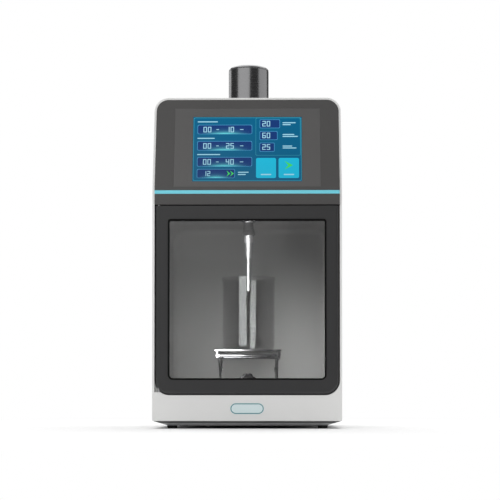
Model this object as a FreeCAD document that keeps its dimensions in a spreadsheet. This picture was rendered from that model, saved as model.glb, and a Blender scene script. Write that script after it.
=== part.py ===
import FreeCAD, Part
import math
import os
import re

import Sketcher

# Ultrasonic homogenizer: a bench cabinet with a leaning control head, a glazed chamber door,
# a transducer and horn that hang through the roof, and a scissor jack that lifts a beaker.
# Lengths are in millimetres and angles in degrees. The origin lies on the bench, below the
# middle of the cabinet. +Z is up, the door faces -Y and +X is to the right of a person in front.

SIZES = {
    # cabinet
    "case_width": 264.0,
    "case_depth": 300.0,
    "case_wall": 3.0,
    "case_corner": 20.0,
    "case_rear_round": 1.8,
    "case_foot_round": 1.5,
    "ground_gap": 10.5,
    "front_step": 2.0,
    "lean": 16.0,
    "apron_tall": 23.0,
    "head_tall": 159.0,
    "bend_round": 25.0,
    "seam_height": 311.0,
    "seam_gap": 1.6,
    # dark pan and feet below the cabinet
    "pan_depth": 6.2,
    "pan_slope": 19.0,
    "pan_wall": 2.0,
    "foot_radius": 7.3,
    "foot_inset": 26.0,
    "foot_setback": 30.0,
    "foot_screw_radius": 2.0,
    # door
    "door_thick": 16.0,
    "door_side_gap": 1.2,
    "door_bottom": 47.7,
    "door_corner": 19.5,
    "stile_width": 19.8,
    "top_rail": 20.7,
    "bottom_rail": 22.4,
    "window_corner": 5.0,
    "bead_width": 2.4,
    "door_lip": 5.0,
    "pane_thick": 4.0,
    "pane_rebate": 6.0,
    "gasket_width": 7.0,
    "gasket_play": 0.3,
    "stop_gap": 3.0,
    "pivot_inset": 5.0,
    "pivot_setback": 4.0,
    "pivot_radius": 1.75,
    "pivot_play": 0.08,
    "pivot_in_door": 14.0,
    "pivot_in_case": 8.0,
    "pivot_seat_play": 0.03,
    "relief_reach": 5.0,
    "relief_drop": 3.4,
    "bush_wall": 1.0,
    "bush_length": 10.0,
    "door_edge_round": 4.0,
    "bracket_thick": 3.0,
    "bracket_width": 17.0,
    "bracket_length": 26.0,
    "magnet_length": 30.0,
    "magnet_width": 7.0,
    "magnet_thick": 5.0,
    # control head
    "head_wall": 3.0,
    "head_depth": 14.0,
    "head_play": 0.3,
    "head_top_gap": 0.4,
    "membrane_width": 205.0,
    "membrane_tall": 121.0,
    "membrane_start": 3.0,
    "membrane_thick": 0.8,
    "display_width": 153.5,
    "display_tall": 100.0,
    "display_start": 11.0,
    "display_border": 4.0,
    "glass_thick": 1.5,
    "glass_sink": 0.4,
    "panel_thick": 6.0,
    "board_thick": 1.6,
    "board_standoff": 5.0,
    "strip_tall": 4.9,
    "strip_drop": 4.7,
    "strip_depth": 1.2,
    # blank badge on the front of the base
    "badge_width": 46.8,
    "badge_tall": 15.2,
    "badge_height": 27.9,
    "badge_thick": 0.8,
    # chamber
    "chamber_side": 12.0,
    "chamber_floor": 50.0,
    "ceiling_drop": 3.0,
    "rear_bay": 64.0,
    "chamber_wall": 2.0,
    "chamber_round": 22.0,
    "frame_thick": 3.0,
    "opening_lip": 7.0,
    "opening_sill": 10.0,
    "opening_head": 9.0,
    "opening_corner": 10.0,
    "rail_width": 14.0,
    "rail_inset": 17.0,
    "rail_wall": 2.5,
    # transducer and horn
    "probe_y": -25.0,
    "housing_radius": 29.5,
    "housing_wall": 2.5,
    "housing_rise": 223.8,
    "housing_lift": 8.0,
    "lid_thick": 8.0,
    "lid_bevel": 2.0,
    "case_hole_play": 3.0,
    "seal_play": 0.4,
    "seal_lip": 2.5,
    "seat_wall": 4.0,
    "seat_tall": 18.0,
    "seat_play": 0.3,
    "collar_bore": 11.5,
    "collar_neck": 14.0,
    "collar_radius": 18.0,
    "collar_drop": 3.0,
    "collar_play": 0.2,
    "stack_radius": 19.0,
    "stack_bore": 7.5,
    "stack_bolt_radius": 5.0,
    "back_mass_length": 34.0,
    "ring_thick": 5.0,
    "ring_count": 4.0,
    "electrode_thick": 0.4,
    "front_mass_length": 30.0,
    "horn_rise": 64.0,
    "waist_rise": 22.0,
    "shoulder_rise": 42.0,
    "horn_neck_radius": 6.0,
    "ring_radius": 6.5,
    "ring_drop": 28.0,
    "ring_tall": 2.2,
    "flange_radius": 6.7,
    "flange_drop": 33.8,
    "flange_tall": 4.5,
    "stem_radius": 4.45,
    "stem_drop": 56.0,
    "boot_drop": 24.0,
    "boot_tall": 19.0,
    "boot_radius": 9.5,
    "boot_top_radius": 7.0,
    "tip_radius": 3.0,
    "tip_length": 50.2,
    "tip_land": 6.7,
    "tip_collar": 5.5,
    # scissor jack
    "jack_arm": 88.6,
    "jack_rise": 38.2,
    "jack_lowest": 23.0,
    "jack_highest": 78.0,
    "jack_pivot_height": 16.5,
    "jack_pivot_back": 40.0,
    "arm_width": 10.0,
    "arm_thick": 2.0,
    "arm_gap": 0.4,
    "jack_width": 96.4,
    "jack_flange_inner": 88.0,
    "jack_flange_thick": 1.5,
    "jack_flange_drop": 12.0,
    "jack_plate_thick": 2.0,
    "jack_plate_above": 8.3,
    "jack_front": 52.0,
    "jack_back": 52.0,
    "base_front": 55.0,
    "base_lug_above": 5.0,
    "base_foot": 3.0,
    "shaft_radius": 2.25,
    "shaft_play": 0.08,
    "slot_play": 0.3,
    "rivet_radius": 3.6,
    "rivet_length": 1.2,
    "bar_radius": 4.0,
    "screw_radius": 3.0,
    "screw_end_radius": 2.0,
    "screw_play": 0.1,
    "thrust_radius": 5.0,
    "thrust_length": 2.0,
    "bearing_thick": 2.0,
    "knob_radius": 12.3,
    "knob_length": 14.0,
    "knob_gap": 2.0,
    "knob_flute": 2.4,
    "knob_flutes": 8.0,
    # beaker
    "beaker_radius": 38.5,
    "beaker_tall": 108.4,
    "beaker_wall": 1.9,
    "beaker_floor": 3.0,
    "beaker_round": 7.0,
    "rim_radius": 1.3,
    # rear panel and what it carries
    "rear_recess": 9.0,
    "rear_thick": 2.0,
    "vent_width": 70.0,
    "vent_tall": 4.0,
    "vent_pitch": 9.0,
    "vent_count": 9.0,
    "vent_inset": 70.0,
    "vent_drop": 125.0,
    "fan_inset": 70.0,
    "fan_drop": 85.0,
    "fan_size": 80.0,
    "fan_thick": 25.0,
    "fan_bore": 37.5,
    "hub_radius": 16.0,
    "fan_shaft": 2.0,
    "blade_count": 7.0,
    "blade_root": 13.0,
    "blade_radius": 35.0,
    "blade_thick": 1.4,
    "guard_thick": 1.5,
    "guard_ring": 2.0,
    "guard_pitch": 8.0,
    "inlet_inset": 44.0,
    "inlet_z": 60.0,
    "inlet_width": 27.0,
    "inlet_tall": 20.0,
    "inlet_flange": 3.0,
    "inlet_depth": 16.0,
    "drawer_tall": 9.0,
    "drawer_play": 0.3,
    "switch_step": 48.0,
    "switch_width": 19.0,
    "switch_tall": 26.0,
    "switch_rim": 2.0,
    "rocker_tilt": 10.0,
    "rocker_play": 0.5,
    # electronics
    "generator_width": 190.0,
    "generator_tall": 200.0,
    "generator_low": 76.0,
    "generator_off": 6.0,
    "sink_width": 110.0,
    "sink_tall": 60.0,
    "sink_fin": 22.0,
    "fin_count": 9.0,
    "core_x": 22.0,
    "core_rise": 30.0,
    "core_width": 50.0,
    "core_deep": 30.0,
    "core_tall": 44.0,
    "core_band": 7.0,
    "core_leg": 12.0,
    "coil_play": 2.0,
    "supply_length": 150.0,
    "supply_width": 98.0,
    "supply_tall": 28.0,
}

# Sizes that follow from others, so that the cabinet, its door, the chamber and the probe keep
# together when one of them changes.
FOLLOWING = {
    "case_height": "seam_height + head_tall",
    "bend_height": "seam_height + apron_tall",
    "strip_height": "bend_height - strip_drop",
    "foot_spread": "case_width - 2 * foot_inset",
    "foot_fore_aft": "case_depth - 2 * foot_setback",
    "window_width": "case_width - 2 * (case_wall + door_side_gap + stile_width)",
    "window_bottom": "door_bottom + bottom_rail",
    "window_tall": "seam_height - seam_gap / 2 - top_rail - window_bottom",
    "chamber_width": "case_width - 2 * chamber_side",
    "chamber_ceiling": "seam_height - ceiling_drop",
    "chamber_depth": "case_depth - rear_bay - door_thick - stop_gap - frame_thick",
    "opening_width": "chamber_width - 2 * opening_lip",
    "opening_bottom": "chamber_floor + opening_sill",
    "opening_top": "chamber_ceiling - opening_head",
    "rail_spread": "chamber_width - 2 * rail_inset",
    "housing_top": "chamber_ceiling + housing_rise",
    "housing_bottom": "chamber_ceiling + housing_lift",
    "horn_top": "chamber_ceiling + horn_rise",
    "horn_waist": "chamber_ceiling + waist_rise",
    "horn_shoulder": "chamber_ceiling + shoulder_rise",
    "ring_low": "chamber_ceiling - ring_drop",
    "ring_high": "ring_low + ring_tall",
    "flange_low": "chamber_ceiling - flange_drop",
    "flange_high": "flange_low + flange_tall",
    "stem_low": "chamber_ceiling - stem_drop",
    "boot_low": "chamber_ceiling - boot_drop",
    "boot_high": "boot_low + boot_tall",
    "tip_low": "stem_low - tip_length",
    "tip_joint": "tip_low + tip_land",
    "vent_x": "vent_inset - case_width / 2",
    "vent_low": "case_height - vent_drop",
    "fan_x": "case_width / 2 - fan_inset",
    "fan_z": "case_height - fan_drop",
    "inlet_x": "inlet_inset - case_width / 2",
    "switch_x": "inlet_x + switch_step",
}

document = FreeCAD.newDocument("Homogenizer")
sheet = document.addObject("Spreadsheet::Sheet", "Sizes")
ALIASES = list(SIZES) + list(FOLLOWING)
for row, alias in enumerate(ALIASES, start=1):
    text = str(SIZES[alias]) if alias in SIZES else f"={FOLLOWING[alias]}"
    sheet.set(f"A{row}", text)
    sheet.setAlias(f"A{row}", alias)
document.recompute()

# Places that follow from the sizes. Each is a formula over the sheet's cells.

CASE_HALF = "(case_width / 2)"
REAR_Y = "(case_depth / 2)"
FACE_Y = "(-case_depth / 2)"
CASE_FRONT_Y = f"({FACE_Y} + front_step)"
INNER_HALF = f"({CASE_HALF} - case_wall)"
INNER_TOP = "(case_height - case_wall)"
INNER_CORNER = "(case_corner - case_wall)"
FLOOR_TOP = "(ground_gap + case_wall)"
LEDGE_BOTTOM = "(door_bottom - door_side_gap - case_wall)"

DOOR_HALF = f"({INNER_HALF} - door_side_gap)"
DOOR_TOP = "(seam_height - seam_gap / 2)"
DOOR_REAR_Y = f"({FACE_Y} + door_thick)"
STOP_Y = f"({DOOR_REAR_Y} + stop_gap)"
WINDOW_HALF = "(window_width / 2)"
WINDOW_TOP = "(window_bottom + window_tall)"
PANE_Y = f"({FACE_Y} + door_lip)"
PIVOT_X = f"(-{DOOR_HALF} + pivot_inset)"
PIVOT_Y = f"({FACE_Y} + pivot_setback)"
PIVOT_FOOT = (
    f"(door_bottom + door_corner - sqrt(door_corner ^ 2 - (door_corner - pivot_inset) ^ 2))"
)

GASKET_HALF = "(opening_width / 2 + gasket_width - 0.5)"
GASKET_LOW = "(opening_bottom - gasket_width + 0.5)"
GASKET_HIGH = "(opening_top + gasket_width - 0.5)"
MAGNET_X = f"({DOOR_HALF} - magnet_width - 1)"
MAGNET_Z = f"(({DOOR_TOP} + door_bottom) / 2 - magnet_length / 2)"

HEAD_HALF = f"({INNER_HALF} - head_play)"
HEAD_LOW = "(seam_height + seam_gap / 2)"
HEAD_TOP = f"({INNER_TOP} - head_top_gap)"

BRACKET_Z = f"({HEAD_LOW} + head_wall + 0.2)"
TONGUE_X = f"(-{HEAD_HALF} + head_wall + head_play)"
TONGUE_Y = f"({PIVOT_Y} - pivot_radius - 0.5)"

FRAME_REAR_Y = f"({STOP_Y} + frame_thick)"
LINER_REAR_Y = f"({FRAME_REAR_Y} + chamber_depth)"
LINER_TOP = "(chamber_ceiling + chamber_wall)"
LINER_LOW = "(chamber_floor - chamber_wall)"
REAR_PANEL_Y = f"({REAR_Y} - rear_recess)"
REAR_INNER_Y = f"({REAR_PANEL_Y} - rear_thick)"

JACK_FLOOR = "(chamber_floor + base_foot)"
PIVOT_Z = "(chamber_floor + jack_pivot_height)"
PIVOT_REAR_Y = "(probe_y + jack_pivot_back)"
SPREAD = "sqrt(jack_arm ^ 2 - jack_rise ^ 2)"
SPREAD_LOW = "sqrt(jack_arm ^ 2 - jack_lowest ^ 2)"
SPREAD_HIGH = "sqrt(jack_arm ^ 2 - jack_highest ^ 2)"
ARM_ANGLE = "asin(jack_rise / jack_arm)"
UPPER_Z = f"({PIVOT_Z} + jack_rise)"
PLATE_TOP = f"({UPPER_Z} + jack_plate_above)"
FLANGE_X = "(jack_flange_inner / 2)"
OUTER_ARM_X = f"({FLANGE_X} - arm_gap - arm_thick)"
INNER_ARM_X = f"({OUTER_ARM_X} - arm_gap - arm_thick)"
BASE_FRONT_Y = "(probe_y - base_front)"


def bound(text):
    """Turn the size names in a formula into references to the sheet's cells."""
    def reference(match):
        word = match.group()
        return f"Sizes.{word}" if word in ALIASES else word
    return re.sub(r"[a-z][a-z_]*", reference, str(text))


def value(text):
    """Work out a formula as a plain number."""
    result = sheet.evalExpression(bound(text))
    return float(getattr(result, "Value", result))


def placed(item, x="0", y="0", z="0"):
    """Bind an item's place to the sheet."""
    item.setExpression("Placement.Base.x", bound(x))
    item.setExpression("Placement.Base.y", bound(y))
    item.setExpression("Placement.Base.z", bound(z))
    return item


def label(item, name, x="0", y="0", z="0"):
    """Name a finished sub-part and bind its place to the sheet."""
    item.Label = name
    finished.append(placed(item, x, y, z))
    return item


def turn(item, axis, angle):
    """Turn a sub-part about an axis through its own origin."""
    item.Placement = FreeCAD.Placement(FreeCAD.Vector(), FreeCAD.Rotation(axis, 1))
    item.setExpression("Placement.Rotation.Angle", bound(angle))
    return item


def new_body(name):
    return document.addObject("PartDesign::Body", name + "_body")


def new_sketch(body, role, offset):
    """Put an empty sketch on one of the body's origin planes, moved along its normal."""
    sketch = body.newObject("Sketcher::SketchObject", "Sketch")
    plane = [item for item in body.Origin.OriginFeatures if item.Role == role][0]
    sketch.AttachmentSupport = [(plane, "")]
    sketch.MapMode = "FlatFace"
    sketch.setExpression(".AttachmentOffset.Base.z", bound(offset))
    return sketch


def pin_point(sketch, geometry, position, across, up):
    """Hold a point of the sketch at two formulas measured from the sketch's origin."""
    for kind, size, text in (("DistanceX", value(across), across), ("DistanceY", value(up), up)):
        index = sketch.addConstraint(Sketcher.Constraint(kind, -1, 1, geometry, position, size))
        sketch.setExpression(f"Constraints[{index}]", bound(text))


def add_outline(sketch, corners):
    """Draw a closed outline through corners (across, up) or (across, up, rounding)."""
    points = [FreeCAD.Vector(value(corner[0]), value(corner[1]), 0) for corner in corners]
    rounds = [value(corner[2]) if len(corner) > 2 else 0.0 for corner in corners]
    count = len(points)
    marks = []
    backs = []
    aheads = []
    halves = []
    for index, point in enumerate(points):
        marks.append(sketch.addGeometry(Part.Point(point), True))
        pin_point(sketch, marks[index], 1, corners[index][0], corners[index][1])
        back = FreeCAD.Vector(points[index - 1] - point).normalize()
        ahead = FreeCAD.Vector(points[(index + 1) % count] - point).normalize()
        backs.append(back)
        aheads.append(ahead)
        halves.append(back.getAngle(ahead) / 2)
    trims = [size / math.tan(half) for size, half in zip(rounds, halves)]
    lines = []
    for index in range(count):
        following = (index + 1) % count
        start = points[index] + aheads[index] * trims[index]
        end = points[following] + backs[following] * trims[following]
        lines.append(sketch.addGeometry(Part.LineSegment(start, end), False))
        for corner, position in ((index, 1), (following, 2)):
            if rounds[corner]:
                rule = Sketcher.Constraint("PointOnObject", marks[corner], 1, lines[index])
            else:
                rule = Sketcher.Constraint("Coincident", lines[index], position, marks[corner], 1)
            sketch.addConstraint(rule)
    for index in range(count):
        if not rounds[index]:
            continue
        middle = FreeCAD.Vector(backs[index] + aheads[index]).normalize()
        centre = points[index] + middle * (rounds[index] / math.sin(halves[index]))
        start = points[index] + backs[index] * trims[index]
        end = points[index] + aheads[index] * trims[index]
        ends = [start, end]
        inward = backs[index].cross(aheads[index]).z < 0
        first = 1 if inward else 2
        if not inward:
            ends.reverse()
        bend = Part.Arc(ends[0], centre - middle * rounds[index], ends[1])
        arc = sketch.addGeometry(bend, False)
        sketch.addConstraint(Sketcher.Constraint("Tangent", lines[index - 1], 2, arc, first))
        sketch.addConstraint(Sketcher.Constraint("Tangent", lines[index], 1, arc, 3 - first))
        rule = sketch.addConstraint(Sketcher.Constraint("Radius", arc, rounds[index]))
        sketch.setExpression(f"Constraints[{rule}]", bound(corners[index][2]))


def add_circle(sketch, across, up, radius):
    centre = FreeCAD.Vector(value(across), value(up), 0)
    circle = Part.Circle(centre, FreeCAD.Vector(0, 0, 1), value(radius))
    geometry = sketch.addGeometry(circle, False)
    pin_point(sketch, geometry, 3, across, up)
    rule = sketch.addConstraint(Sketcher.Constraint("Radius", geometry, value(radius)))
    sketch.setExpression(f"Constraints[{rule}]", bound(radius))


def drawn(body, role, shapes, offset):
    """Sketch outlines (lists of corners) and circles (tuples of three formulas) on one plane."""
    sketch = new_sketch(body, role, offset)
    for shape in shapes:
        if isinstance(shape, tuple):
            add_circle(sketch, *shape)
        else:
            add_outline(sketch, shape)
    return sketch


def feature(body, kind, sketch, length, flipped, both):
    """Add a pad or a pocket of the sketch, and check that it changed the body's volume."""
    before = body.Shape.Volume if body.Tip else 0.0
    item = body.newObject(f"PartDesign::{kind}", kind)
    item.Profile = sketch
    item.setExpression("Length", bound(length))
    item.SideType = "Symmetric" if both else "One side"
    item.Reversed = flipped
    document.recompute()
    if abs(body.Shape.Volume - before) < 1e-3:
        raise RuntimeError(f"{body.Name}: {kind} changes nothing")
    return item


def pad(body, role, shapes, length, offset="0", flipped=False, both=False):
    return feature(body, "Pad", drawn(body, role, shapes, offset), length, flipped, both)


def pocket(body, role, shapes, length, offset="0", flipped=False, both=False):
    return feature(body, "Pocket", drawn(body, role, shapes, offset), length, flipped, both)


def revolved(name, corners, axis="V_Axis"):
    """Turn a half profile of (radius, height) corners about the body's upright axis."""
    body = new_body(name)
    sketch = drawn(body, "XZ_Plane", [corners], "0")
    item = body.newObject("PartDesign::Revolution", "Revolution")
    item.Profile = sketch
    item.ReferenceAxis = (sketch, [axis])
    item.Angle = 360
    return body


def rectangle(left, right, low, high, lower="", upper=""):
    """Corners of an upright rectangle, with roundings for its lower and upper corners."""
    low_round = (lower,) if lower else ()
    high_round = (upper,) if upper else ()
    return [
        (left, low) + low_round,
        (right, low) + low_round,
        (right, high) + high_round,
        (left, high) + high_round,
    ]


def box(name, x, y, z, wide, deep, tall):
    """A plain block with one corner at (x, y, z)."""
    item = document.addObject("Part::Box", name)
    for key, text in (("Length", wide), ("Width", deep), ("Height", tall)):
        item.setExpression(key, bound(text))
    for key, text in (("x", x), ("y", y), ("z", z)):
        item.setExpression(f"Placement.Base.{key}", bound(text))
    return item


def cylinder(name, x, y, z, radius, length, axis="z"):
    """A round bar that starts at (x, y, z) and runs along +X, +Y or +Z."""
    item = document.addObject("Part::Cylinder", name)
    turns = {
        "x": FreeCAD.Rotation(FreeCAD.Vector(0, 1, 0), 90),
        "y": FreeCAD.Rotation(FreeCAD.Vector(1, 0, 0), -90),
        "z": FreeCAD.Rotation(),
    }
    item.Placement = FreeCAD.Placement(FreeCAD.Vector(), turns[axis])
    item.setExpression("Radius", bound(radius))
    item.setExpression("Height", bound(length))
    for key, text in (("x", x), ("y", y), ("z", z)):
        item.setExpression(f"Placement.Base.{key}", bound(text))
    return item


def fused(name, items):
    result = document.addObject("Part::MultiFuse", name)
    result.Shapes = items
    return result


def cut(name, base, tools):
    result = document.addObject("Part::Cut", name)
    result.Base = base
    result.Tool = tools[0] if len(tools) == 1 else fused(name + "_tools", tools)
    return result


def group(name, items):
    """Several like solids that share one sub-part."""
    result = document.addObject("Part::Compound", name)
    result.Links = items
    return result


def leaning_y(height, back="0"):
    """The head's front face at a height above the bend, moved back by a distance."""
    return f"({FACE_Y} + ({height} - bend_height) * tan(lean) + {back})"


finished = []
X_AXIS = FreeCAD.Vector(1, 0, 0)


def case_shell():
    """White outer shell: roof, sides, floor and the front of the base, open front and rear."""
    body = new_body("case_shell")
    top_front = leaning_y("case_height", "front_step")
    side_view = [
        (CASE_FRONT_Y, "ground_gap"),
        (REAR_Y, "ground_gap"),
        (REAR_Y, "case_height"),
        (top_front, "case_height"),
        (CASE_FRONT_Y, "bend_height", "bend_round"),
    ]
    pad(body, "YZ_Plane", [side_view], "case_width", both=True)
    round_long_edges(body, "case_height", "case_corner")
    rear = value(REAR_Y)
    fillet(body, "case_rear_round", lambda edge: near(edge.YMin, rear) and near(edge.YMax, rear)
           and edge.ZMax > value("ground_gap") + 1)
    low = value("ground_gap")
    fillet(body, "case_foot_round", lambda edge: near(edge.ZMin, low) and near(edge.ZMax, low))
    hollow = rectangle(
        f"-{INNER_HALF}", INNER_HALF, FLOOR_TOP, INNER_TOP, upper=INNER_CORNER)
    pocket(body, "XZ_Plane", [hollow], f"{REAR_Y} - {STOP_Y}", f"-{REAR_Y}", flipped=True)
    recess = rectangle(
        f"-{INNER_HALF}", INNER_HALF, "door_bottom - door_side_gap", INNER_TOP,
        "door_corner + door_side_gap", INNER_CORNER)
    pocket(body, "XZ_Plane", [recess], f"{STOP_Y} - {FACE_Y}", f"-{STOP_Y}", flipped=True)
    behind = rectangle(f"-{INNER_HALF}", INNER_HALF, FLOOR_TOP, LEDGE_BOTTOM)
    depth = f"{STOP_Y} - {CASE_FRONT_Y} - case_wall"
    pocket(body, "XZ_Plane", [behind], depth, f"-{STOP_Y}", flipped=True)
    hole = ("0", "probe_y", "housing_radius + case_hole_play")
    pocket(body, "XY_Plane", [hole], "case_wall * 2", "case_height")
    pivot = (PIVOT_X, PIVOT_Y, "pivot_radius + pivot_seat_play")
    pocket(body, "XY_Plane", [pivot], "pivot_in_case", PIVOT_FOOT)
    relief = rectangle(f"-{INNER_HALF}", f"{PIVOT_X} + relief_reach", FACE_Y, f"{PIVOT_Y} + relief_reach")
    relief_top = "(door_bottom + door_corner + 1)"
    pocket(body, "XY_Plane", [relief], f"{relief_top} - {PIVOT_FOOT} + relief_drop", relief_top)
    screws = [(x, y, "foot_screw_radius") for x, y in foot_places()]
    pocket(body, "XY_Plane", screws, "case_wall * 2", FLOOR_TOP)
    for x, z in panel_screw_places():
        side = "-1" if x.startswith("-") else "1"
        lug = rectangle(f"{side} * ({INNER_HALF} - 6.5) - 6.5", f"{side} * ({INNER_HALF} - 6.5) + 6.5",
                        f"{z} - 8", f"{z} + 8")
        pad(body, "XZ_Plane", [lug], "10", f"-{REAR_INNER_Y}")
        pocket(body, "XZ_Plane", [(x, z, "foot_screw_radius")], "9", f"-{REAR_INNER_Y}", flipped=True)
    label(body, "case_shell")


def fillet(body, radius, wanted):
    """Round the body's edges whose bounds meet a test."""
    document.recompute()
    names = []
    for index, edge in enumerate(body.Shape.Edges, start=1):
        if wanted(edge.BoundBox):
            names.append(f"Edge{index}")
    before = body.Tip
    item = body.newObject("PartDesign::Fillet", "Fillet")
    item.Base = (before, names)
    item.setExpression("Radius", bound(radius))
    document.recompute()


def near(first, second):
    return abs(first - second) < 1e-3


def round_long_edges(body, height, radius):
    """Round the two fore and aft edges at the top of a body."""
    level = value(height)
    fillet(body, radius, lambda edge: near(edge.ZMin, level) and near(edge.ZMax, level)
           and edge.XLength < 1e-3 and edge.YLength > 1)


def foot_places():
    """Centres of the four feet, seen from above."""
    return [(f"{x} * foot_spread / 2", f"{y} * foot_fore_aft / 2") for y in (-1, 1) for x in (-1, 1)]


def base_pan():
    """Dark pan below the floor, with sides that slope inwards."""
    def tapered(name, inset, low, high):
        item = document.addObject("Part::Wedge", name)
        half_x = f"{CASE_HALF} - case_foot_round - {inset}"
        sizes = {
            "Xmin": f"-({half_x} - pan_slope)", "Xmax": f"{half_x} - pan_slope",
            "X2min": f"-({half_x})", "X2max": half_x,
            "Zmin": f"-({REAR_Y} - case_foot_round - {inset} - pan_slope)",
            "Zmax": f"-({CASE_FRONT_Y} + case_foot_round + {inset} + pan_slope)",
            "Z2min": f"-({REAR_Y} - case_foot_round - {inset})",
            "Z2max": f"-({CASE_FRONT_Y} + case_foot_round + {inset})",
            "Ymin": low, "Ymax": high,
        }
        item.Placement = FreeCAD.Placement(FreeCAD.Vector(), FreeCAD.Rotation(X_AXIS, 90))
        for key, text in sizes.items():
            item.setExpression(key, bound(text))
        return item
    low = "ground_gap - pan_depth"
    outer = tapered("pan_outer", "0", low, "ground_gap")
    inner = tapered("pan_inner", "pan_wall", f"{low} + pan_wall", "ground_gap")
    holes = [
        cylinder("pan_hole", x, y, f"{low}", "foot_screw_radius", "pan_wall")
        for x, y in foot_places()
    ]
    label(cut("pan", outer, [inner] + holes), "base_pan")


def feet():
    """Four rubber feet, and the screws that hold them, the pan and the rear panel."""
    foot_tall = "(ground_gap - pan_depth)"
    screws = []
    cushions = []
    for x, y in foot_places():
        profile = [
            ("foot_screw_radius", f"{foot_tall}"),
            ("foot_screw_radius", f"{foot_tall} * 0.5"),
            ("foot_screw_radius * 2", f"{foot_tall} * 0.5"),
            ("foot_screw_radius * 2", "0"),
            ("foot_radius - 0.6", "0"),
            ("foot_radius", f"{foot_tall}"),
        ]
        cushions.append(placed(revolved("foot", profile), x, y))
        shank = f"{foot_tall} * 0.45"
        screw = [
            cylinder("screw_head", x, y, f"{foot_tall} * 0.1", "foot_screw_radius * 1.9",
                     f"{foot_tall} * 0.4"),
            cylinder("screw_shank", x, y, shank, "foot_screw_radius", f"{FLOOR_TOP} + 3 - {shank}"),
        ]
        screws.append(fused("foot_screw", screw))
    label(group("cushions", cushions), "rubber_feet")
    for x, z in panel_screw_places():
        screw = [
            cylinder("screw_head", x, REAR_PANEL_Y, z, "foot_screw_radius * 1.9", "1.8", "y"),
            cylinder("screw_shank", x, f"{REAR_PANEL_Y} - 8", z, "foot_screw_radius", "8.5", "y"),
        ]
        screws.append(fused("panel_screw", screw))
    label(group("case_screw_set", screws), "case_screws")


def panel_screw_places():
    """Centres of the rear panel's screws, seen from behind."""
    high = f"{INNER_TOP} - 25"
    return [(f"{x} * ({INNER_HALF} - 7)", z) for z in (f"{FLOOR_TOP} + 25", "case_height / 2", high)
            for x in (-1, 1)]


def window_outline(step):
    """The window's outline, grown on every side by a step."""
    return rectangle(
        f"-{WINDOW_HALF} - ({step})", f"{WINDOW_HALF} + {step}",
        f"window_bottom - ({step})", f"{WINDOW_TOP} + {step}",
        f"window_corner + {step}", f"window_corner * 0.3 + {step}")


def door():
    """Dark door: a moulded frame, a glazing bead, a tinted pane, its retainer and the seal."""
    body = new_body("door_frame")
    outline = rectangle(f"-{DOOR_HALF}", DOOR_HALF, "door_bottom", DOOR_TOP, "door_corner")
    pad(body, "XZ_Plane", [outline], "door_thick", f"-{DOOR_REAR_Y}")
    round_hinge_edge(body)
    pocket(body, "XZ_Plane", [window_outline("bead_width")], "door_thick",
           f"-{DOOR_REAR_Y}", flipped=True)
    seat = "pane_rebate + bead_width"
    pocket(body, "XZ_Plane", [window_outline(seat)], "door_thick - door_lip",
           f"-{DOOR_REAR_Y}", flipped=True)
    bush = (PIVOT_X, PIVOT_Y, "pivot_radius + bush_wall + pivot_play")
    pocket(body, "XY_Plane", [bush], "pivot_in_door", DOOR_TOP)
    low_end = f"({PIVOT_FOOT} + pivot_in_door)"
    pocket(body, "XY_Plane", [bush], f"{low_end} - door_bottom", f"{low_end}")
    magnet = rectangle(MAGNET_X, f"{MAGNET_X} + magnet_width",
                       MAGNET_Z, f"{MAGNET_Z} + magnet_length")
    pocket(body, "XZ_Plane", [magnet], "magnet_thick", f"-{DOOR_REAR_Y}", flipped=True)
    label(body, "door_frame")

    ring("window_bead", window_outline("bead_width"), window_outline("0"), "door_lip", PANE_Y)

    body = new_body("window_pane")
    pad(body, "XZ_Plane", [window_outline(seat)], "pane_thick", f"-({PANE_Y} + pane_thick)")
    label(body, "window_pane")

    depth = "door_thick - door_lip - pane_thick"
    ring("pane_retainer", window_outline(seat), window_outline("1"), depth, DOOR_REAR_Y)
    gasket_outer = rectangle(
        f"-{GASKET_HALF}", GASKET_HALF, GASKET_LOW, GASKET_HIGH, "opening_corner", "opening_corner")
    gasket_inner = rectangle(
        f"-{GASKET_HALF} + gasket_width", f"{GASKET_HALF} - gasket_width",
        f"{GASKET_LOW} + gasket_width", f"{GASKET_HIGH} - gasket_width",
        "opening_corner * 0.4", "opening_corner * 0.4")
    ring("door_gasket", gasket_outer, gasket_inner, "stop_gap - gasket_play",
         f"({STOP_Y} - gasket_play)")

    magnet = box("magnet", MAGNET_X, f"{DOOR_REAR_Y} - magnet_thick", MAGNET_Z,
                 "magnet_width", "magnet_thick", "magnet_length")
    label_placed(magnet, "door_magnet")


def label_placed(item, name):
    """Name a block or bar whose place is already bound."""
    item.Label = name
    finished.append(item)
    return item


def ring(name, outer, inner, thick, rear):
    """A flat ring between two outlines, from a rear plane forwards."""
    body = new_body(name)
    pad(body, "XZ_Plane", [outer, inner], thick, f"-{rear}")
    return label(body, name)


def round_hinge_edge(body):
    """Round the door's front edge beside the pivots, so that it clears the case as it swings."""
    side = -value(DOOR_HALF)
    front = value(FACE_Y)
    fillet(body, "door_edge_round", lambda edge: near(edge.XMin, side) and edge.XLength < 1e-3
           and near(edge.YMin, front) and edge.YLength < 1e-3 and edge.ZLength > 20)


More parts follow.
